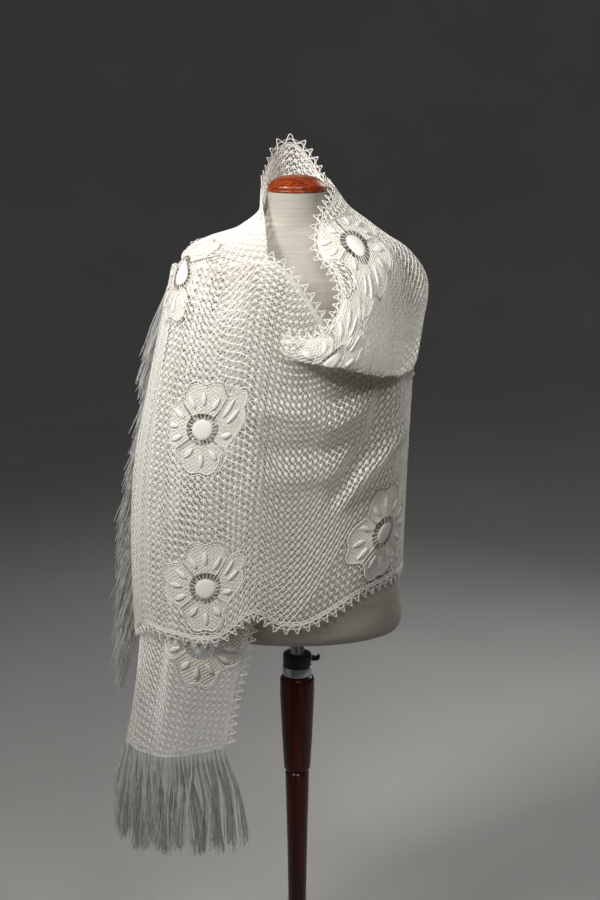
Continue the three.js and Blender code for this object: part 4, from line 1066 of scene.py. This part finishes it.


# Loose mercerised cotton: cooler white, with a soft gloss along the threads; its grey tone, darker than the
# lace thread, is partly painted shade for the dimness among the fringe's threads
def fringeCotton():
    material, tree, shader = newMaterial("mercerisedCottonPaintedShade", {
        "Roughness": 0.5, "Sheen Weight": 0.2, "Sheen Roughness": 0.4})
    place = addNode(tree, "ShaderNodeTexCoord")
    patches = addNode(tree, "ShaderNodeTexNoise", {"Scale": 60.0, "Detail": 2.0},
                      {"Vector": place.outputs["Object"]})
    # painted shade: the grey ramp holds the fringe below the thread's own white
    tone = colourRamp(tree, patches.outputs["Fac"], [(0.3, "#c3c1bc"), (0.7, "#e2e0db")])
    tree.links.new(tone.outputs["Color"], shader.inputs["Base Color"])
    return material


# Natural linen canvas: pale greyish cream, plain weave drawn at 2 mm with a few thicker level slubs
def linenCanvas():
    material, tree, shader = newMaterial("linenCanvas", {"Roughness": 0.9, "Sheen Weight": 0.15})
    place = addNode(tree, "ShaderNodeTexCoord")
    slubPlace = addNode(tree, "ShaderNodeMapping", links={"Vector": place.outputs["Object"]})
    slubPlace.inputs["Scale"].default_value = (14, 14, 260)
    slubs = addNode(tree, "ShaderNodeTexNoise", {"Scale": 1.0, "Detail": 3.0},
                    {"Vector": slubPlace.outputs["Vector"]})
    weave = addNode(tree, "ShaderNodeTexNoise", {"Scale": 480.0, "Detail": 1.0},
                    {"Vector": place.outputs["Object"]})
    part = addNode(tree, "ShaderNodeMath", {"operation": "MULTIPLY", 1: 0.35}, {0: weave.outputs["Fac"]})
    both = addNode(tree, "ShaderNodeMath", {"operation": "MULTIPLY_ADD", 1: 0.65},
                   {0: slubs.outputs["Fac"], 2: part.outputs[0]})
    tone = colourRamp(tree, both.outputs[0], [(0.3, "#a8a295"), (0.5, "#b4aea2"), (0.7, "#beb9ae")])
    bump = addNode(tree, "ShaderNodeBump", {"Strength": 0.25, "Distance": 0.0005},
                   {"Height": both.outputs[0]})
    tree.links.new(tone.outputs["Color"], shader.inputs["Base Color"])
    tree.links.new(bump.outputs["Normal"], shader.inputs["Normal"])
    return material


# Stained and varnished beech: orange red, swirling grain under a clear coat
def varnishedBeech():
    material, tree, shader = newMaterial("varnishedBeech", {
        "Roughness": 0.38, "Coat Weight": 0.15, "Coat Roughness": 0.1})
    place = addNode(tree, "ShaderNodeTexCoord")
    bent = addNode(tree, "ShaderNodeMapping", links={"Vector": place.outputs["Object"]})
    bent.inputs["Scale"].default_value = (22, 60, 40)
    grain = addNode(tree, "ShaderNodeTexNoise", {"Scale": 1.6, "Detail": 4.0, "Distortion": 2.6},
                    {"Vector": bent.outputs["Vector"]})
    tone = colourRamp(tree, grain.outputs["Fac"], [(0.3, "#4a1203"), (0.5, "#8a2f06"), (0.72, "#b4560f")])
    tree.links.new(tone.outputs["Color"], shader.inputs["Base Color"])
    return material


# Mahogany stained beech, turned and lacquered: dark red brown, long grain, high gloss
def lacqueredMahogany():
    material, tree, shader = newMaterial("lacqueredMahogany", {
        "Roughness": 0.3, "Coat Weight": 0.2, "Coat Roughness": 0.08, "Specular IOR Level": 0.3})
    place = addNode(tree, "ShaderNodeTexCoord")
    along = addNode(tree, "ShaderNodeMapping", links={"Vector": place.outputs["Object"]})
    along.inputs["Scale"].default_value = (140, 140, 7)
    grain = addNode(tree, "ShaderNodeTexNoise", {"Scale": 1.0, "Detail": 5.0, "Distortion": 0.6},
                    {"Vector": along.outputs["Vector"]})
    tone = colourRamp(tree, grain.outputs["Fac"], [(0.28, "#260503"), (0.5, "#430d06"), (0.72, "#5e170a")])
    bump = addNode(tree, "ShaderNodeBump", {"Strength": 0.08, "Distance": 0.0003},
                   {"Height": grain.outputs["Fac"]})
    tree.links.new(tone.outputs["Color"], shader.inputs["Base Color"])
    tree.links.new(bump.outputs["Normal"], shader.inputs["Normal"])
    return material


# Chromed steel tube: mirror bright, with faint wiping marks
def chromedSteel():
    material, tree, shader = newMaterial("chromedSteel", {
        "Metallic": 1.0, "Base Color": hexColour("#c9cbce")})
    place = addNode(tree, "ShaderNodeTexCoord")
    marks = addNode(tree, "ShaderNodeTexNoise", {"Scale": 90.0, "Detail": 3.0},
                    {"Vector": place.outputs["Object"]})
    gloss = addNode(tree, "ShaderNodeMapRange", {"To Min": 0.06, "To Max": 0.16},
                    {"Value": marks.outputs["Fac"]})
    tree.links.new(gloss.outputs["Result"], shader.inputs["Roughness"])
    return material


# Black glass filled nylon, moulded: satin with a fine spark texture
def mouldedNylon():
    material, tree, shader = newMaterial("mouldedNylon", {
        "Base Color": hexColour("#17171a"), "Roughness": 0.42})
    place = addNode(tree, "ShaderNodeTexCoord")
    grit = addNode(tree, "ShaderNodeTexNoise", {"Scale": 1400.0, "Detail": 2.0},
                   {"Vector": place.outputs["Object"]})
    bump = addNode(tree, "ShaderNodeBump", {"Strength": 0.25, "Distance": 0.0002},
                   {"Height": grit.outputs["Fac"]})
    tree.links.new(bump.outputs["Normal"], shader.inputs["Normal"])
    return material


def smoothShade(piece, degrees=35):
    piece.data.polygons.foreach_set("use_smooth", [True] * len(piece.data.polygons))
    piece.data.set_sharp_from_angle(angle=math.radians(degrees))


def finishPiece(piece, material, body, slot, *nodes):
    piece.data.materials.clear()
    piece.data.materials.append(material)
    smoothShade(piece)
    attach(piece, body)
    if nodes:
        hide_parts(*nodes)


threadFinish, stitchFinish, fringeFinish = laceThread(), wovenLace(), fringeCotton()
leafFinish = clothStitch()
linen, beech, mahogany = linenCanvas(), varnishedBeech(), lacqueredMahogany()
chrome, nylon = chromedSteel(), mouldedNylon()
for name in cloths:
    finishPiece(nets[name], threadFinish, "form", "lace", nodeOf[name])
    finishPiece(flowerPieces[name], leafFinish, "form", "lace")
    finishPiece(petalPieces[name], stitchFinish, "form", "lace")
    finishPiece(flowerCords[name], threadFinish, "form", "lace")
for piece, node, _ in edgePieces.values():
    finishPiece(piece, threadFinish, "form", "lace", node)
finishPiece(fringeA, fringeFinish, "form", "fringe", "fringe_a")
finishPiece(fringeB, fringeFinish, "form", "fringe", "fringe_b")
finishPiece(torso, linen, "form", "linen", "form_torso")
finishPiece(cap, beech, "form", "cap_wood", "neck_cap")
finishPiece(base, mahogany, "stand", "dark_wood", "base")
finishPiece(column, mahogany, "stand", "dark_wood", "column")
finishPiece(ring, chrome, "stand", "chrome", "chrome_ring")
finishPiece(collar, nylon, "stand", "black_plastic", "clamp_collar")
finishPiece(lever, nylon, "stand", "black_plastic", "clamp_lever")
finishPiece(post, chrome, "post", "chrome", "post")
bpy.data.objects.remove(starPiece)
print("finishes on")

fringeOf = {"endA": [fringeA], "endB": [fringeB]}
for name, cloth in cloths.items():
    trims = [flowerPieces[name], petalPieces[name], flowerCords[name]] + fringeOf.get(name, [])
    trims += [piece for piece, _, on in edgePieces.values() if on == name]
    openArea(cloth) * mm * mm

# A plain pale floor that turns up into a seamless wall, and soft studio light, brightest from the upper left
studio = {
    "floor": "#cdcbc7", "floorRadius": 6.0, "bend": 2.6, "wall": 5.5, "world": "#7d7f82", "ambient": 0.3,
    # name, place, size in metres, power in watts, spread in degrees and what it is aimed at
    "lights": [("keyLight", (-1.35, -1.15, 2.5), 0.55, 8.6, 76, (-0.05, 0, 1.34)),
               ("frontLight", (0.3, -1.5, 2.5), 0.5, 1.7, 60, (0.1, -0.1, 1.4)),
               ("fillLight", (1.9, -2.6, 1.3), 1.6, 0.45, 180, (0, 0, 1.1)),
               ("backLight", (1.5, 1.9, 2.3), 1.2, 16, 150, (0, 0, 1.2))],
}
bowl = [(0, 0), (studio["floorRadius"] / mm, 0),
        *arc(studio["floorRadius"] / mm, studio["bend"] / mm, studio["bend"] / mm, -90, 0, 16)[1:],
        ((studio["floorRadius"] + studio["bend"]) / mm, studio["wall"] / mm)]
floor = turnedPiece("floor", bowl, 96)
bm = bmesh.new()
bm.from_mesh(floor.data)
bmesh.ops.reverse_faces(bm, faces=[f for f in bm.faces if f.normal.z < 0])
bm.to_mesh(floor.data)
bm.free()
smoothShade(floor)
floorPaint, floorTree, floorShader = newMaterial("matteFloorPaint", {"Roughness": 0.85})
floorPlace = addNode(floorTree, "ShaderNodeTexCoord")
floorNoise = addNode(floorTree, "ShaderNodeTexNoise", {"Scale": 1.5, "Detail": 2.0},
                     {"Vector": floorPlace.outputs["Object"]})
floorTone = colourRamp(floorTree, floorNoise.outputs["Fac"], [(0.3, studio["floor"]), (0.7, "#d4d2ce")])
floorTree.links.new(floorTone.outputs["Color"], floorShader.inputs["Base Color"])
floor.data.materials.append(floorPaint)
world = bpy.data.worlds.new("studio")
world.use_nodes = True
world.node_tree.nodes["Background"].inputs["Color"].default_value = hexColour(studio["world"])
world.node_tree.nodes["Background"].inputs["Strength"].default_value = studio["ambient"]
bpy.context.scene.world = world
for name, place, size, power, spread, aim in studio["lights"]:
    data = bpy.data.lights.new(name, "AREA")
    data.size, data.energy, data.spread = size, power, math.radians(spread)
    lamp = bpy.data.objects.new(name, data)
    lamp.location = place
    lamp.rotation_euler = (Vector(aim) - Vector(place)).to_track_quat("-Z", "Y").to_euler()
    bpy.context.collection.objects.link(lamp)
bpy.context.scene.view_settings.view_transform = "Standard"
print("studio lit")
